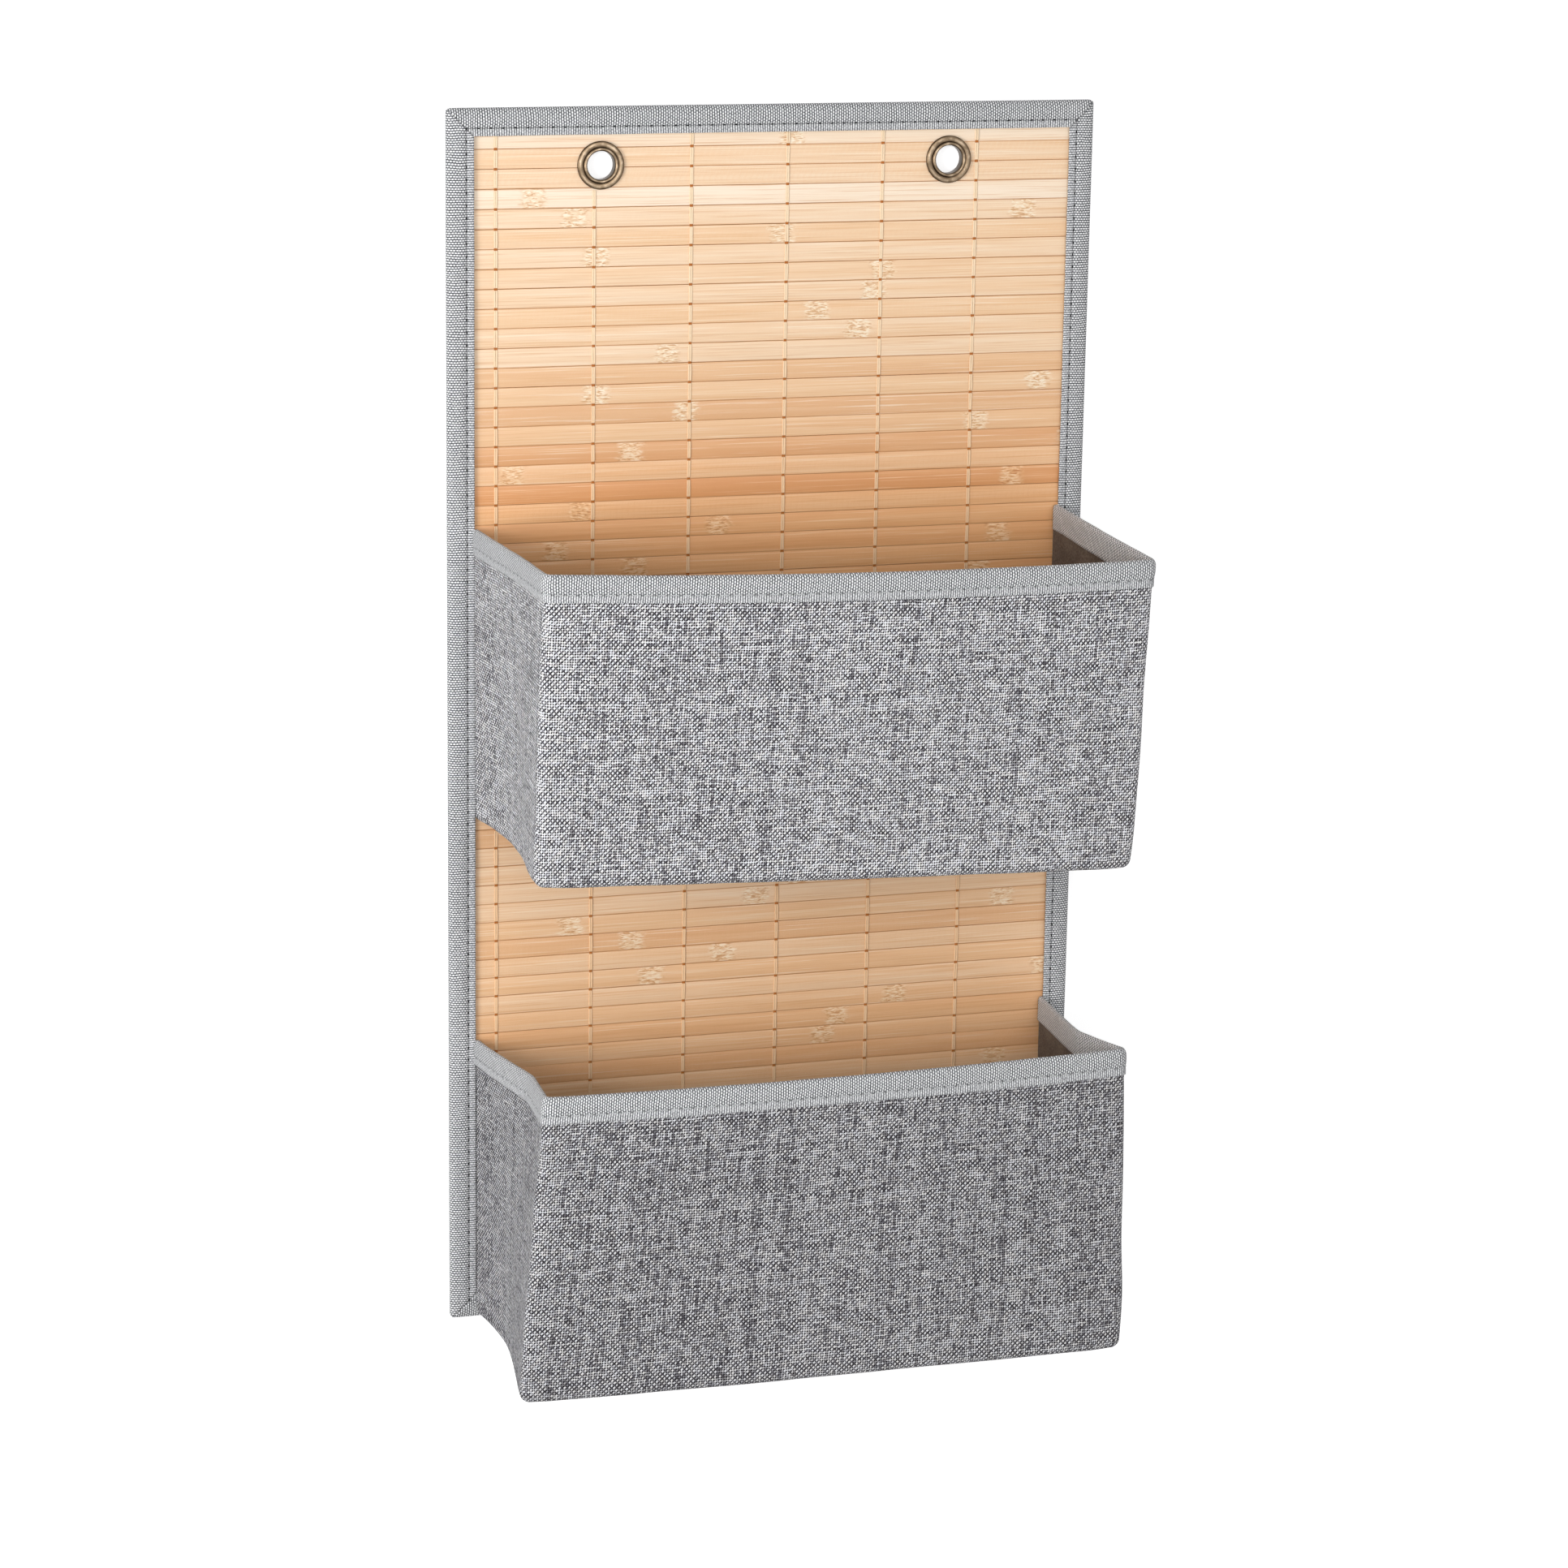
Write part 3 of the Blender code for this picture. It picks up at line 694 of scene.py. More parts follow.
materials = {
    "upper_cloth": melange_cloth("melange_cloth_upper", 1.0, 1.03),
    # A dimmer copy of the same cloth for the lower pocket: painted shade, for the weaker light on the lower front.
    "lower_cloth": melange_cloth("melange_cloth_lower_shaded", 0.83, 1.17),
    "tape": woven_tape("woven_tape", 1.0),
    "rim_tape": woven_tape("woven_rim_tape", 0.55),
    "bamboo": bamboo(),
    "thread": warp_thread(),
    # Taupe lining, its colours darkened as painted shade for the pockets' insides.
    "lining": felted_cloth("taupe_lining", (0.055, 0.040, 0.029), (0.17, 0.13, 0.098), 2.2 * MM),
    "backing": felted_cloth("backing_cloth", (0.055, 0.048, 0.045), (0.16, 0.145, 0.135), 2.6 * MM),
    "brass": antique_brass(),
    "stitch": grey_thread(),
    "board": card(),
}


# Panel


def slat_edges():
    """The height of each slat's top and bottom, at the middle of the gaps between them."""
    lines = [mat_high.z]
    line = PANEL_TOP - FIRST_SLAT_LINE_DROP
    while line > mat_low.z + SLAT_PITCH / 4:
        lines.append(line)
        line -= SLAT_PITCH
    lines.append(mat_low.z)
    return np.array(lines)


def make_slats():
    """Split bamboo slats with eased front edges, each a little out of line with its neighbours."""
    draw = random.Random(4)
    lines = slat_edges()
    xs = np.linspace(mat_low.x, mat_high.x, SLAT_COLUMNS)
    turn = np.radians([0, 30, 60, 90])
    ease = list(zip(SLAT_EDGE_RADIUS * (1 - np.sin(turn)), SLAT_EDGE_RADIUS * (1 - np.cos(turn))))
    grids, knots = [], []
    for number, (top, bottom) in enumerate(zip(lines, lines[1:])):
        level = draw.uniform(-1, 1) * SLAT_LEVEL_SPREAD
        tilt = draw.uniform(-1, 1) * SLAT_LEVEL_SPREAD
        trim = [(SLAT_GAP + draw.uniform(-1, 1) * SLAT_GAP_SPREAD) / 2 for _ in range(2)]
        along = stacked(xs, 0, number)
        upper = top - trim[0] + SLAT_WAVE * waves(along, number, 0.05, 0.4)
        lower = bottom + trim[1] + SLAT_WAVE * waves(along, number + 500, 0.05, 0.4)
        front = MAT_FRONT + SLAT_SET_BACK + level + 0.5 * SLAT_WAVE * waves(along, number + 900, 0.06, 0.3)
        rear = front + SLAT_THICKNESS
        loop = [(rear, upper), (rear, lower)]
        loop += [(front + tilt + a, lower + b) for a, b in ease]
        loop += [(front - tilt + b, upper - a) for a, b in ease]
        grids.append(np.stack([stacked(xs, y, z) for y, z in loop]))
        first = draw.uniform(-1, 1) * PANEL_HALF * 1.15
        knots.append((first, first + PANEL_HALF * draw.choice([-1.4, 1.4, 3, 3])))
    mesh = bored(grid_mesh("bamboo_slats", grids, closed_rows=True, capped=True))
    x, _, z = coordinates(mesh).T
    number = np.clip(np.searchsorted(-lines, -z) - 1, 0, len(knots) - 1)
    middle = (lines[1:] + lines[:-1]) / 2
    add_vectors(mesh, "slat", x, z - middle[number], number)
    add_vectors(mesh, "knots", *(x - np.array(knots)[number].T), 0)
    piece("bamboo_slats", mesh, "bamboo", ["bamboo_mat"])


def make_warp_threads():
    """Each column is a pair of flattened threads that lie on the slats and dip between them."""
    lines = slat_edges()[1:-1]
    around = ring_angles(THREAD_SIDES)
    for column in range(1, 7):
        low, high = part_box(f"warp_thread_{column}")
        z = np.arange(high.z, low.z, -THREAD_STEP)[:, None]
        dip = swell(np.abs(z - lines).min(1, keepdims=True), THREAD_DIP_REACH)
        y = MAT_FRONT - THREAD_HALF_THICKNESS * 0.9 + THREAD_DIP * dip
        grids = []
        for strand, sign in enumerate((-1, 1)):
            wander = THREAD_WANDER * waves(stacked(column, strand, z), column * 2 + strand, 0.01, 0.05)
            x = (low.x + high.x) / 2 + sign * THREAD_APART * (1 - 0.35 * dip) + wander
            aside, out = THREAD_HALF_WIDTH * np.cos(around), THREAD_HALF_THICKNESS * np.sin(around)
            grids.append(stacked(x + aside, y + out, z))
        name = f"warp_thread_pair_{column}"
        mesh = grid_mesh(name, grids, closed_columns=True)
        add_vectors(mesh, "thread", *np.tile(stacked(z, around / math.pi, dip).reshape(-1, 3), (2, 1)).T)
        piece(name, mesh, "thread", [f"warp_thread_{column}"])


def make_backing():
    """A front, a rear and the four strips between their edges."""
    low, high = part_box("backing_cloth")
    x, z = np.meshgrid(np.linspace(low.x, high.x, 60), np.linspace(high.z, low.z, 110))
    front, rear = stacked(x, low.y, z), stacked(x, high.y, z)
    strips = [np.stack([front[edge], rear[edge]]) for edge in (0, -1)]
    strips += [np.stack([front[:, edge], rear[:, edge]]) for edge in (0, -1)]
    mesh = bored(joined("backing_sheet", [(grid, grid[..., ::2]) for grid in (front, rear, *strips)], closed=True))
    backing = piece("backing_sheet", mesh, "backing", ["backing_cloth"])


def border_section():
    """The border tape's section as (distance inwards from the panel's edge, y), front lip to rear lip."""
    front = np.linspace(TAPE_INNER, BORDER_FOLD_REACH, BORDER_FRONT_ROWS)
    stitch = TAPE_INNER - TAPE_STITCH_FROM_EDGE
    dent = BORDER_DENT * swell(front - stitch, 1.1 * MM)
    share = np.clip((front - BORDER_FOLD_REACH) / (stitch - BORDER_FOLD_REACH), 0, 1)
    crown = BORDER_CROWN * share * (1 - share) * 4
    turn = np.linspace(0, math.pi, 13)[1:-1]
    fold = BORDER_FOLD_REACH * (1 - np.sin(turn))
    fold_y = PANEL_FRONT / 2 * (1 + np.cos(turn))
    rear = np.linspace(BORDER_FOLD_REACH, TAPE_INNER, 12)
    return np.concatenate([front, fold, rear]), np.concatenate([PANEL_FRONT + dent - crown, fold_y, 0 * rear])


def rounded_tips(points, middle, half_height):
    """Draws the panel's four sharp tips in to a small radius."""
    radius = CORNER_TIP_RADIUS
    x = np.abs(points[..., 0]) - (PANEL_HALF - radius)
    z = np.abs(points[..., 2] - middle) - (half_height - radius)
    reach = np.where((x > 0) & (z > 0), np.maximum(np.hypot(x, z) / radius, 1), 1)
    points[..., 0] -= np.sign(points[..., 0]) * (x - x / reach)
    points[..., 2] -= np.sign(points[..., 2] - middle) * (z - z / reach)
    return points


def make_border():
    """Four folded tapes with mitred ends; those across lie over those down the sides."""
    inwards, depth = (values[:, None] for values in border_section())
    across = lengths_along(np.hstack([inwards, depth]))
    ply = np.where(np.arange(len(inwards)) < BORDER_FRONT_ROWS, -1.0, 0.0)[:, None]
    middle, height = (PANEL_TOP + PANEL_BOTTOM) / 2, PANEL_TOP - PANEL_BOTTOM
    sides = {
        "left": ((-PANEL_HALF, 0, middle), (1, 0, 0), (0, 0, 1), height),
        "right": ((PANEL_HALF, 0, middle), (-1, 0, 0), (0, 0, -1), height),
        "top": ((0, 0, PANEL_TOP), (0, 0, -1), (1, 0, 0), 2 * PANEL_HALF),
        "bottom": ((0, 0, PANEL_BOTTOM), (0, 0, 1), (-1, 0, 0), 2 * PANEL_HALF),
    }
    stitch_in = TAPE_INNER - TAPE_STITCH_FROM_EDGE
    stitches = []
    for side, (*axes, length) in sides.items():
        origin, inward, along = np.array(axes)
        share = np.linspace(-1, 1, int(length / TAPE_COLUMN))
        place = share * (length / 2 - inwards)
        soft = TAPE_WAVE * waves(stacked(place, inwards, 0), len(side), 0.012, 0.06)
        pucker = TAPE_PUCKER * swell(inwards - stitch_in, 2.6 * MM) * np.abs(np.sin(math.pi * place / STITCH_PITCH))
        from_end = (length / 2 - inwards) * (1 - np.abs(share))
        over = (side in ("top", "bottom")) * (MITRE_OVER + MITRE_LIP * swell(from_end, MITRE_LIP_REACH))
        y = depth + ply * (pucker + np.abs(soft) + over)
        edge = inwards + np.where(inwards > TAPE_INNER - 0.5 * MM, soft, 0)
        points = origin + edge[..., None] * inward + place[..., None] * along + stacked(0, y, 0)
        points = rounded_tips(points, middle, height / 2)
        name = "border_tape_" + side
        mesh = joined(name, [(points, stacked(place, across[:, None]))])
        tape = piece(name, mesh, "tape", ["border_binding_" + side])
        thicken(tape, TAPE_THICKNESS)
        count = int((length / 2 - stitch_in - STITCH_PITCH / 2) / STITCH_PITCH)
        for step in range(-count, count + 1):
            at = origin + inward * stitch_in + along * (step * STITCH_PITCH)
            for y_place, out in ((PANEL_FRONT + STITCH_SUNK, -1), (STITCH_OUT, 1)):
                stitches.append((at + (0, y_place, 0), along, (0, out, 0)))
    make_stitches("border_stitches", stitches)


def crest(inner, outer, height, feet, steps=14):
    """A rounded crest between two radii, as (radius, height), with the heights of its inner and outer feet."""
    turn = np.linspace(math.pi, 0, steps)
    radius = (inner + outer) / 2 + (outer - inner) / 2 * np.cos(turn)
    foot = np.linspace(feet[0], feet[1], steps)
    return stacked(radius, foot + (height - foot) * np.sin(turn) ** 0.8)


def make_eyelets():
    """Rolled lip, crowned brim, barrel through the panel, and a clenched rear edge on a washer."""
    inner, outer = EYELET_HOLE_RADIUS, EYELET_FLANGE_RADIUS
    valley = inner + EYELET_ROLL_WIDTH
    barrel = inner + EYELET_WALL
    seat = MAT_FRONT - EYELET_SEAT
    rear = 0.1 * MM
    lip = crest(inner, valley, EYELET_ROLL_HEIGHT, (EYELET_EDGE, EYELET_VALLEY))
    brim = crest(valley, outer, EYELET_BRIM_HEIGHT, (EYELET_VALLEY, EYELET_EDGE))
    ring = [(radius, seat - height) for radius, height in (*lip, *brim[1:])]
    ring += [(outer, seat), (barrel, seat), (barrel, -0.5 * MM), (barrel + EYELET_CLENCH, -0.25 * MM)]
    ring += [(barrel + EYELET_CLENCH, rear), (barrel + 0.3 * MM, rear + 0.25 * MM)]
    ring += [(inner + 0.1 * MM, rear), (inner, -0.5 * MM)]
    for side, center in zip(("left", "right"), eyelet_centers()):
        make_turned("eyelet_ring_" + side, ring, center, 55, "eyelet_" + side)
        node = "eyelet_washer_" + side
        low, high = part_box(node)
        rim, hole = high.x - center.x, barrel + 0.2 * MM
        washer = [(hole, low.y), (rim, low.y), (rim, high.y - 0.15 * MM), (rim - 0.3 * MM, high.y), (hole, high.y)]
        make_turned("washer_" + side, washer, center, 40, node)


def make_turned(name, profile, center, sharp, node):
    """A brass piece. Its share of worn metal and painted highlight is 1 on an eyelet's two crests and 0 in the
    valleys and at the edge.
    """
    mesh = lathe(name, profile, center)
    x, _, z = coordinates(mesh).T
    across, up = x - center.x, z - center.z
    radius = np.hypot(across, up)
    valley = EYELET_HOLE_RADIUS + EYELET_ROLL_WIDTH
    off = [
        np.abs(radius - (low + high) / 2) / ((high - low) / 2)
        for low, high in ((EYELET_HOLE_RADIUS, valley), (valley, EYELET_FLANGE_RADIUS))
    ]
    wear_and_highlight = np.clip(1 - np.minimum(*off) ** 2, 0, 1)
    add_vectors(mesh, "turned", wear_and_highlight, np.arctan2(up, across), radius)
    mesh.set_sharp_from_angle(angle=math.radians(sharp))
    piece(name, mesh, "brass", [node])


# Pockets


def front_half(up):
    """Half width of a pocket's front, which narrows downwards."""
    return POCKET_BOTTOM_HALF + (POCKET_RIM_HALF - POCKET_BOTTOM_HALF) * up


def wall_half(depth, up, pocket):
    """Half width of a pocket at its outer side face: it tapers forwards and down, and folds in a little halfway."""
    half = POCKET_BACK_HALF + (front_half(up) - POCKET_BACK_HALF) * depth / POCKET_DEPTH
    rise = np.clip((up - FLAT_GUSSET_SHARE) / (1 - FLAT_GUSSET_SHARE), 0, 1)
    crease = pocket["crease"] * fold_share(depth, pocket["crease_at"], CREASE_SOFTNESS) * rise ** 1.2
    tuck = pocket["tuck"] * fold_share(depth, TUCK_AT, TUCK_SOFTNESS) * (1 - rise) ** 1.2
    return half - crease - tuck


def fold_share(depth, place, softness):
    """1 at a fold, 0 at the back and at the front of a side; the fold lies at place, a share of the depth."""
    end = POCKET_DEPTH - FRONT_STACK
    fold = place * end
    away = np.where(depth < fold, (fold - depth) / fold, (depth - fold) / (end - fold))
    share = 1 - np.sqrt(away ** 2 + softness ** 2)
    ends = 1 - math.sqrt(1 + softness ** 2)
    return np.clip((share - ends) / (1 - softness - ends), 0, None)


def pocket_rows(pocket, z, up, side_inset, front_inset, radius, start=POCKET_START):
    """Points round a pocket's plan, one row for each height z: left side, corner, front, corner, right side.

    The insets are how far a layer lies inside the cloth's outer faces. Returns points, rows by columns.
    """
    z, up, side_inset, front_inset, radius = (
        np.asarray(a, float)[:, None] for a in np.broadcast_arrays(z, up, side_inset, front_inset, radius)
    )
    corner_depth = POCKET_DEPTH - front_inset - radius
    even = np.linspace(start, SPLIT_DEPTH, SIDE_COLUMNS - 1) + 0 * z
    depth = np.hstack([even, corner_depth])
    side_x = wall_half(depth, up, pocket) - side_inset
    turn = np.radians(90) * np.arange(1, CORNER_COLUMNS + 1) / (CORNER_COLUMNS + 1)
    corner_x = wall_half(corner_depth, up, pocket) - side_inset - radius
    arc_x, arc_depth = corner_x + radius * np.cos(turn), corner_depth + radius * np.sin(turn)
    front_x = corner_x * np.linspace(-1, 1, FRONT_COLUMNS)
    front_depth = corner_depth + radius + 0 * front_x
    x = np.hstack([-side_x, -arc_x, front_x, arc_x[:, ::-1], side_x[:, ::-1]])
    d = np.hstack([depth, arc_depth, front_depth, arc_depth[:, ::-1], depth[:, ::-1]])
    return settle(pocket, x, d, z, up, POCKET_DEPTH - front_inset)


def settle(pocket, x, depth, z, up, total):
    """Lets the ideal form give: the front bows out, the rim sags, corners droop and the cloth waves a little."""
    frontness = np.clip((depth - SPLIT_DEPTH) / (total - SPLIT_DEPTH), 0, 1)
    frontness = frontness * frontness * (3 - 2 * frontness)
    middle = np.clip(1 - (x / POCKET_BOTTOM_HALF) ** 2, 0, 1)
    depth = depth + pocket["bow"] * frontness * middle * (0.45 + 0.55 * up)
    z = z - pocket["sag"] * frontness * middle * up
    off_corner = stacked(np.abs(x) - POCKET_BOTTOM_HALF, z - pocket["bottom"], depth - POCKET_DEPTH)
    droop = CORNER_DROOP * swell(np.linalg.norm(off_corner, axis=-1), CORNER_DROOP_REACH)
    to_right = np.clip((x / POCKET_RIM_HALF + 1) / 2, 0, 1)
    growth = np.clip(depth / POCKET_DEPTH, 0, None) ** PULL_GROWTH
    pull_x, pull_z = (
        sum(
            share_up * share_side * pocket[edge][corner][axis]
            for edge, share_up in (("rim_pull", up), ("bottom_pull", 1 - up))
            for corner, share_side in ((0, 1 - to_right), (1, to_right))
        )
        for axis in (0, 1)
    )
    x = x - np.sign(x) * droop + pull_x * growth * MM
    z = z + droop + pull_z * growth * MM
    points = stacked(x, PANEL_FRONT - depth, z)
    free = np.clip(depth / (15 * MM), 0, 1) * np.clip((POCKET_HEIGHT * (1 - up) + 4 * MM) / (25 * MM), 0.25, 1)
    for axis, share in enumerate((1.0, 0.5, 0.5)):
        points[..., axis] += CLOTH_WAVE * free * share * waves(points, 11 + axis + pocket["seed"], 0.035, 0.12)
    return points


def bottom_patch(pocket, z, side_inset, front_inset):
    """The flat of a pocket's bottom, rows across x and columns from the panel forwards."""
    corner_depth = POCKET_DEPTH - front_inset
    depth = np.append(np.linspace(pocket["start"], SPLIT_DEPTH, SIDE_COLUMNS - 1), corner_depth)
    x = np.linspace(-1, 1, FRONT_COLUMNS)[:, None] * (wall_half(depth, 0.0, pocket) - side_inset)
    return settle(pocket, x, depth, z, 0.0, corner_depth + POCKET_EDGE_RADIUS)


def pocket_shell(pocket, side_inset, front_inset, inside_out):
    """Front and gusset grids of one layer of a pocket. Returns (front grids, gusset grids)."""
    radius = POCKET_EDGE_RADIUS - side_inset
    top, floor = pocket["rim"] - TAPE_LAYER, pocket["bottom"] + side_inset
    wall_z = np.linspace(top, floor + radius, WALL_ROWS)
    turn = np.radians(90) * np.arange(1, EDGE_ROWS + 1) / EDGE_ROWS
    z = np.append(wall_z, floor + radius * (1 - np.sin(turn)))
    inset = np.append(0 * wall_z, radius * (1 - np.cos(turn)))
    up = np.append(np.clip((wall_z - floor - radius) / (top - floor - radius), 0, 1), 0 * turn)
    walls = pocket_rows(
        pocket, z, up, side_inset + inset, front_inset + inset, radius - inset + WELD / 10, pocket["start"]
    )
    patch = bottom_patch(pocket, floor, side_inset + radius, front_inset + radius)
    run = lengths_along(walls[0])
    down = lengths_along(walls[:, walls.shape[1] // 2])
    uv = stacked(run - run[len(run) // 2], -down[:, None])
    patch_uv = stacked(patch[..., 0], PANEL_FRONT - patch[..., 1] - SPLIT_DEPTH - down[-1])
    cut = SIDE_COLUMNS - 2
    last = walls.shape[1] - cut
    parts = {
        "front": ((walls, uv, slice(cut, last)), (patch, patch_uv, slice(cut, None))),
        "gusset": (
            (walls, uv, slice(cut + 1)), (walls, uv, slice(last - 1, None)), (patch, patch_uv, slice(cut + 1)),
        ),
    }
    order = -1 if inside_out else 1
    return [[(grid[::order, span], t[::order, span]) for grid, t, span in grids] for grids in parts.values()]


def rider(pocket, place):
    return pocket["name"] + "_front" if place == "front" else "back_panel"


def press(pocket, place, obj):
    """For a piece that is not on the front, gives the object a mesh of its own."""
    if place != "front":
        pocket["name"] + "_pocket_press"
        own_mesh(obj)


def declare_sheet(pocket, place, obj, flat, area):
    min(area, flat[0] * flat[1])
    press(pocket, place, obj)


def pocket_sheet(pocket, place, name, grids, material, nodes, thickness):
    """A sheet of a pocket and its area, measured before it has its thickness."""
    prefix = pocket["name"] + "_"
    mesh = joined(prefix + name, grids)
    area = sum(polygon.area for polygon in mesh.polygons)
    obj = piece(prefix + name, mesh, material, [prefix + node for node in nodes], rider(pocket, place))
    thicken(obj, thickness)
    return obj, area


def make_layer(pocket, kind, material, thickness, side_inset, front_inset):
    """The front and the gusset of one layer, each a sheet of its own thickness, with their areas."""
    shell = pocket_shell(pocket, side_inset, front_inset, inside_out=kind == "lining")
    parts = {"front": ["front"], "gusset": ["side_left", "side_right", "bottom"]}
    made = []
    for (place, names), grids in zip(parts.items(), shell):
        nodes = [f"{part}_{kind}" for part in names]
        name = f"{place}_{kind}_sheet"
        made.append(pocket_sheet(pocket, place, name, grids, material, nodes, thickness))
    return made


def rim_section():
    """The rim tape's section, inner ply up, over the fold and down outside, as (share inwards, drop)."""
    fold = RIM_FOLD_REACH
    turn = np.linspace(0, math.pi, 11)[1:-1]
    inner = [(1.0, drop) for drop in np.linspace(RIM_TAPE_WIDTH, fold, 9)]
    over = [((math.cos(t) + 1) / 2, fold * (1 - math.sin(t))) for t in turn]
    outer = [(0.0, drop) for drop in np.linspace(fold, RIM_TAPE_WIDTH, 18)]
    return np.array(inner + over + outer).T


def make_rim(pocket):
    """Tape folded over the rim, continuous round the corners, cut where the front parts from the gussets."""
    share, drop = rim_section()
    outer = share == 0
    stitch_drop = RIM_TAPE_WIDTH - TAPE_STITCH_FROM_EDGE
    dent = RIM_DENT * swell(drop - stitch_drop, 1.0 * MM)
    crown = RIM_CROWN * np.sin(math.pi * np.clip(drop / stitch_drop, 0, 1))
    side_inset, front_inset = (share * (stack + 2 * TAPE_LAYER) - TAPE_LAYER for stack in (SIDE_STACK, FRONT_STACK))
    radius = np.clip(POCKET_EDGE_RADIUS - (side_inset + front_inset) / 2, 2 * MM, None)
    relief = (dent - crown) * outer
    up = np.clip(1 - drop / POCKET_HEIGHT, 0, 1)
    rows = pocket_rows(pocket, pocket["rim"] - drop, up, side_inset + relief, front_inset + relief, radius)
    rows = refined(rows)
    run = lengths_along(rows[-1])
    run = run - run[len(run) // 2]
    across = lengths_along(stacked(share * SIDE_STACK, drop)[::-1])[::-1]
    near = (swell(drop - stitch_drop, 2.4 * MM) * outer)[:, None]
    pucker = TAPE_PUCKER * near * np.abs(np.sin(math.pi * run / STITCH_PITCH))
    outwards = outward_of(rows)
    soft = TAPE_WAVE * waves(rows, 31 + pocket["seed"], 0.012, 0.05)
    rows = rows + outwards * (pucker + soft)[..., None]
    uv = stacked(run, across[:, None])
    cut = 2 * (SIDE_COLUMNS - 2)
    last = len(run) - cut
    width = float(across[0])
    for place, span in {"left": slice(cut + 1), "front": slice(cut, last), "right": slice(last - 1, None)}.items():
        grids = [(rows[:, span], uv[:, span])]
        obj, area = pocket_sheet(
            pocket, place, "rim_tape_" + place, grids, "rim_tape", ["rim_" + place], TAPE_THICKNESS
        )
        bound = "front" if place == "front" else "gusset"
        declare_sheet(pocket, place, obj, (width, area / width), area)
    row = int(np.argmin(np.where(outer, np.abs(drop - stitch_drop), 1)))
    line, normals = rows[row], outwards[row]
    stitches = {"front": [], "left": [], "right": []}
    for step in range(math.ceil(run[0] / STITCH_PITCH) + 1, math.floor(run[-1] / STITCH_PITCH)):
        at = step * STITCH_PITCH
        index = int(np.clip(np.searchsorted(run, at), 1, len(run) - 2))
        place = "left" if index < cut - 1 else "right" if index > last else "front"
        middle = np.array([np.interp(at, run, values) for values in line.T]) + normals[index] * STITCH_OUT
        stitches[place].append((middle, line[index + 1] - line[index - 1], normals[index]))
    for place, given in stitches.items():
        name = f"{pocket['name']}_rim_stitches_{place}"
        press(pocket, place, make_stitches(name, given, rider(pocket, place)))


def refined(rows):
    """The same rows with one more column midway between each two."""
    fine = np.repeat(rows, 2, axis=1)[:, :-1]
    fine[:, 1::2] = (rows[:, 1:] + rows[:, :-1]) / 2
    return fine


def outward_of(grid):
    """Unit normals of a grid whose rows run down its outer side."""
    normal = np.cross(np.gradient(grid, axis=0), np.gradient(grid, axis=1))
    return normal / np.maximum(np.linalg.norm(normal, axis=-1, keepdims=True), 1e-12)


def make_board(pocket):
    """The stiff board inside the front, bowed with it."""
    z = np.linspace(pocket["rim"] - 1.5 * MM, pocket["bottom"] + BOARD_MARGIN, 40)[:, None]
    up = (z - pocket["bottom"]) / POCKET_HEIGHT
    x = (front_half(up) - BOARD_MARGIN) * np.linspace(-1, 1, 80)
    depth = POCKET_DEPTH - BOARD_DEPTHS[0]
    grids = [(settle(pocket, x, depth, z, up, depth), stacked(x, z))]
    pocket_sheet(
        pocket, "front", "board", grids, "board", ["front_board"], BOARD_DEPTHS[1] - BOARD_DEPTHS[0]
    )


def make_pocket(name, settings, seed):
    low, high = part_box(name + "_front_cloth")
    pocket = dict(settings, name=name, seed=seed, bottom=low.z, rim=high.z + TAPE_LAYER)
    pocket["start"] = MAT_CONTACT if low.z > PANEL_BOTTOM + TAPE_INNER else POCKET_START
    layers = {
        "cloth": make_layer(pocket, "cloth", pocket["cloth"], CLOTH_THICKNESS, 0.0, 0.0),
        "lining": make_layer(pocket, "lining", "lining", LINING_THICKNESS, SIDE_STACK, FRONT_STACK),
    }
    make_board(pocket)
    make_rim(pocket)
    gusset_flat = (2 * POCKET_HEIGHT + 2 * POCKET_BACK_HALF, SPLIT_DEPTH)
    for kind, ((front, front_area), (gusset, gusset_area)) in layers.items():
        front_flat = (front_area / POCKET_HEIGHT, POCKET_HEIGHT)
        declare_sheet(pocket, "front", front, front_flat, front_area)
        declare_sheet(pocket, "gusset", gusset, gusset_flat, gusset_area)


make_slats()
make_warp_threads()
make_backing()
make_border()
make_eyelets()
for seed, (name, settings) in enumerate(POCKETS.items()):
    make_pocket(name, settings, seed)


# Stage, light and camera


def stage_material(name, color, lift):
    """White for the camera, and clear from behind, so that a view from the back still sees the object."""
    material = bpy.data.materials.new(name)
    material.use_nodes = True
    g = Graph(material.node_tree)
    g.tree.nodes.clear()
    lit = g.node("ShaderNodeBsdfDiffuse", {"Color": color})
    seen = g.node("ShaderNodeLightPath", output="Is Camera Ray")
    glow = g.node("ShaderNodeEmission", {"Strength": seen * lift})
    front = g.node("ShaderNodeAddShader", (lit, glow))
    clear = g.node("ShaderNodeBsdfTransparent")
    behind = g.node("ShaderNodeNewGeometry", output="Backfacing")
    g.node("ShaderNodeOutputMaterial", {"Surface": g.node("ShaderNodeMixShader", (behind, front, clear))})
    return material


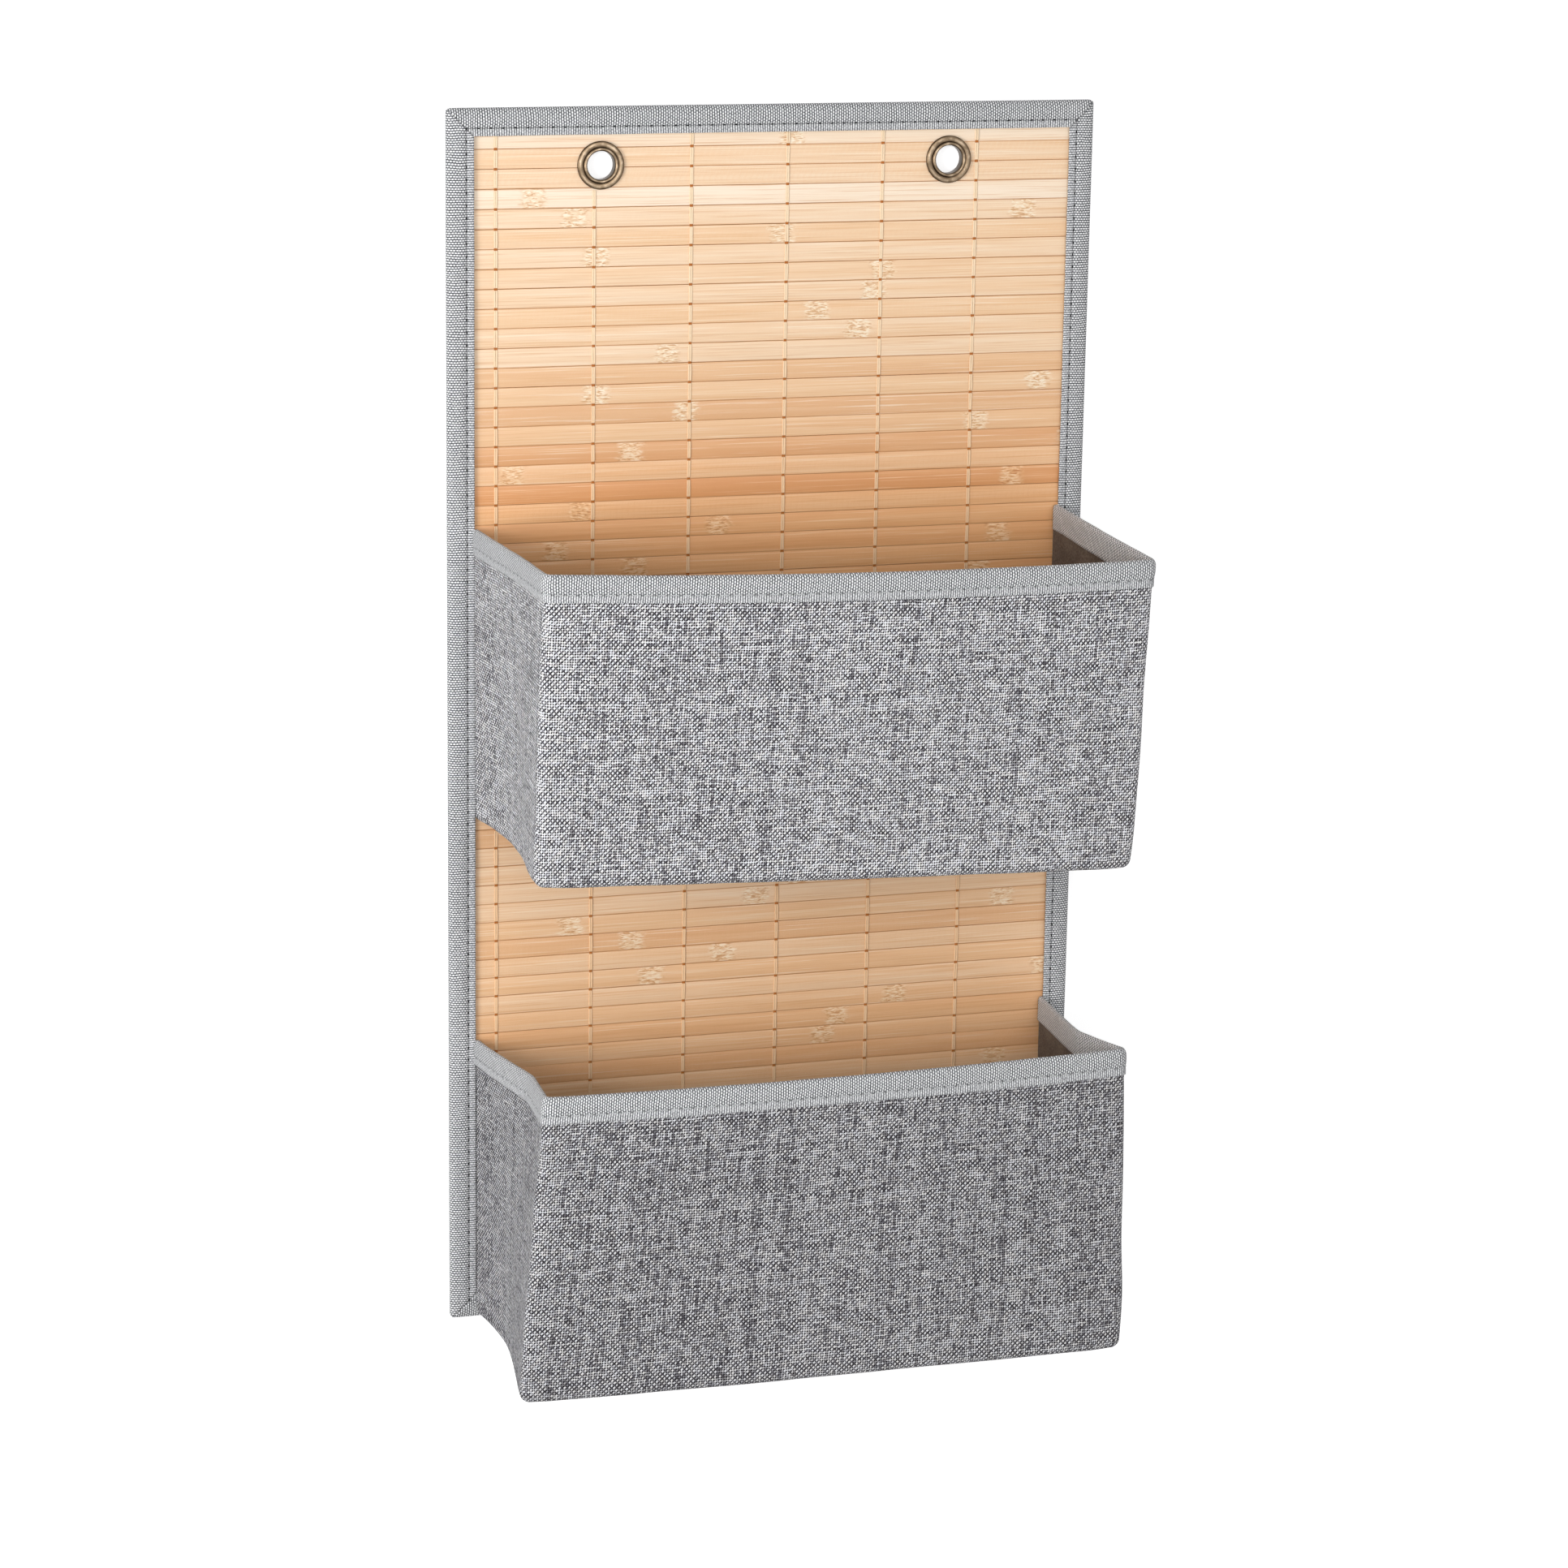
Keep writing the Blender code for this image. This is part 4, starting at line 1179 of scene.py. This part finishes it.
def make_stage():
    """A white wall just behind the panel and a pale floor below. Only the camera sees them."""
    material = stage_material("studio_white", (0.86, 0.86, 0.86), 0.52)
    reach, drop, gap = 6.0, 0.35, 0.6 * MM
    floor = PANEL_BOTTOM - drop
    places = {
        "studio_wall": [(-reach, gap, floor), (reach, gap, floor), (reach, gap, reach), (-reach, gap, reach)],
        "studio_floor": [(-reach, -reach, floor), (reach, -reach, floor), (reach, gap, floor), (-reach, gap, floor)],
    }
    for name, corners in places.items():
        mesh = bpy.data.meshes.new(name)
        mesh.from_pydata(corners, [], [(0, 1, 2, 3)])
        mesh.materials.append(material)
        obj = add_object(name, mesh)
        obj.visible_diffuse = obj.visible_glossy = obj.visible_transmission = obj.visible_shadow = False


def make_world(fill):
    """White to the camera, to reflections and through glass; a plain even fill for everything else."""
    world = bpy.context.scene.world = bpy.data.worlds.new("studio")
    world.use_nodes = True
    g = Graph(world.node_tree)
    g.tree.nodes.clear()
    white = (1.0, 1.0, 1.0)
    even = g.node("ShaderNodeBackground", {"Color": white, "Strength": fill})
    seen = g.node("ShaderNodeBackground", {"Color": white})
    camera, glossy, through = (
        g.node("ShaderNodeLightPath", output=ray) for ray in ("Is Camera Ray", "Is Glossy Ray", "Is Transmission Ray")
    )
    share = g.math("MAXIMUM", g.math("MAXIMUM", camera, glossy), through)
    g.node("ShaderNodeOutputWorld", {"Surface": g.node("ShaderNodeMixShader", (share, even, seen))})


def make_lamp(name, place, size, power, target):
    lamp = bpy.data.lights.new(name, "AREA")
    lamp.shape = "DISK"
    lamp.size = size
    lamp.energy = power
    obj = add_object(name, lamp)
    obj.location = place
    obj.rotation_euler = (Vector(target) - Vector(place)).to_track_quat("-Z", "Y").to_euler()


def make_camera():
    data = bpy.data.cameras.new("camera")
    data.sensor_width = SENSOR_WIDTH
    data.lens = FOCAL_PIXELS / PHOTO_WIDTH * SENSOR_WIDTH
    data.clip_start, data.clip_end = 0.05, 50
    camera = add_object("camera", data)
    stand = Matrix.Translation(CAMERA_PLACE)
    for axis, degrees in (("Z", -CAMERA_YAW), ("X", 90 - CAMERA_PITCH), ("Z", -CAMERA_ROLL)):
        stand = stand @ Matrix.Rotation(math.radians(degrees), 4, axis)
    camera.matrix_world = stand
    bpy.context.scene.camera = camera


middle_of_part = (0, -0.06, (PANEL_TOP + PANEL_BOTTOM) / 2)
make_stage()
make_world(fill=0.45)
make_lamp("front", (-0.1, -1.8, 0.15), 1.0, 9.5, middle_of_part)
make_lamp("left", (-1.5, -1.1, -0.1), 1.0, 22, middle_of_part)
make_camera()
bpy.context.scene.view_settings.view_transform = "Standard"
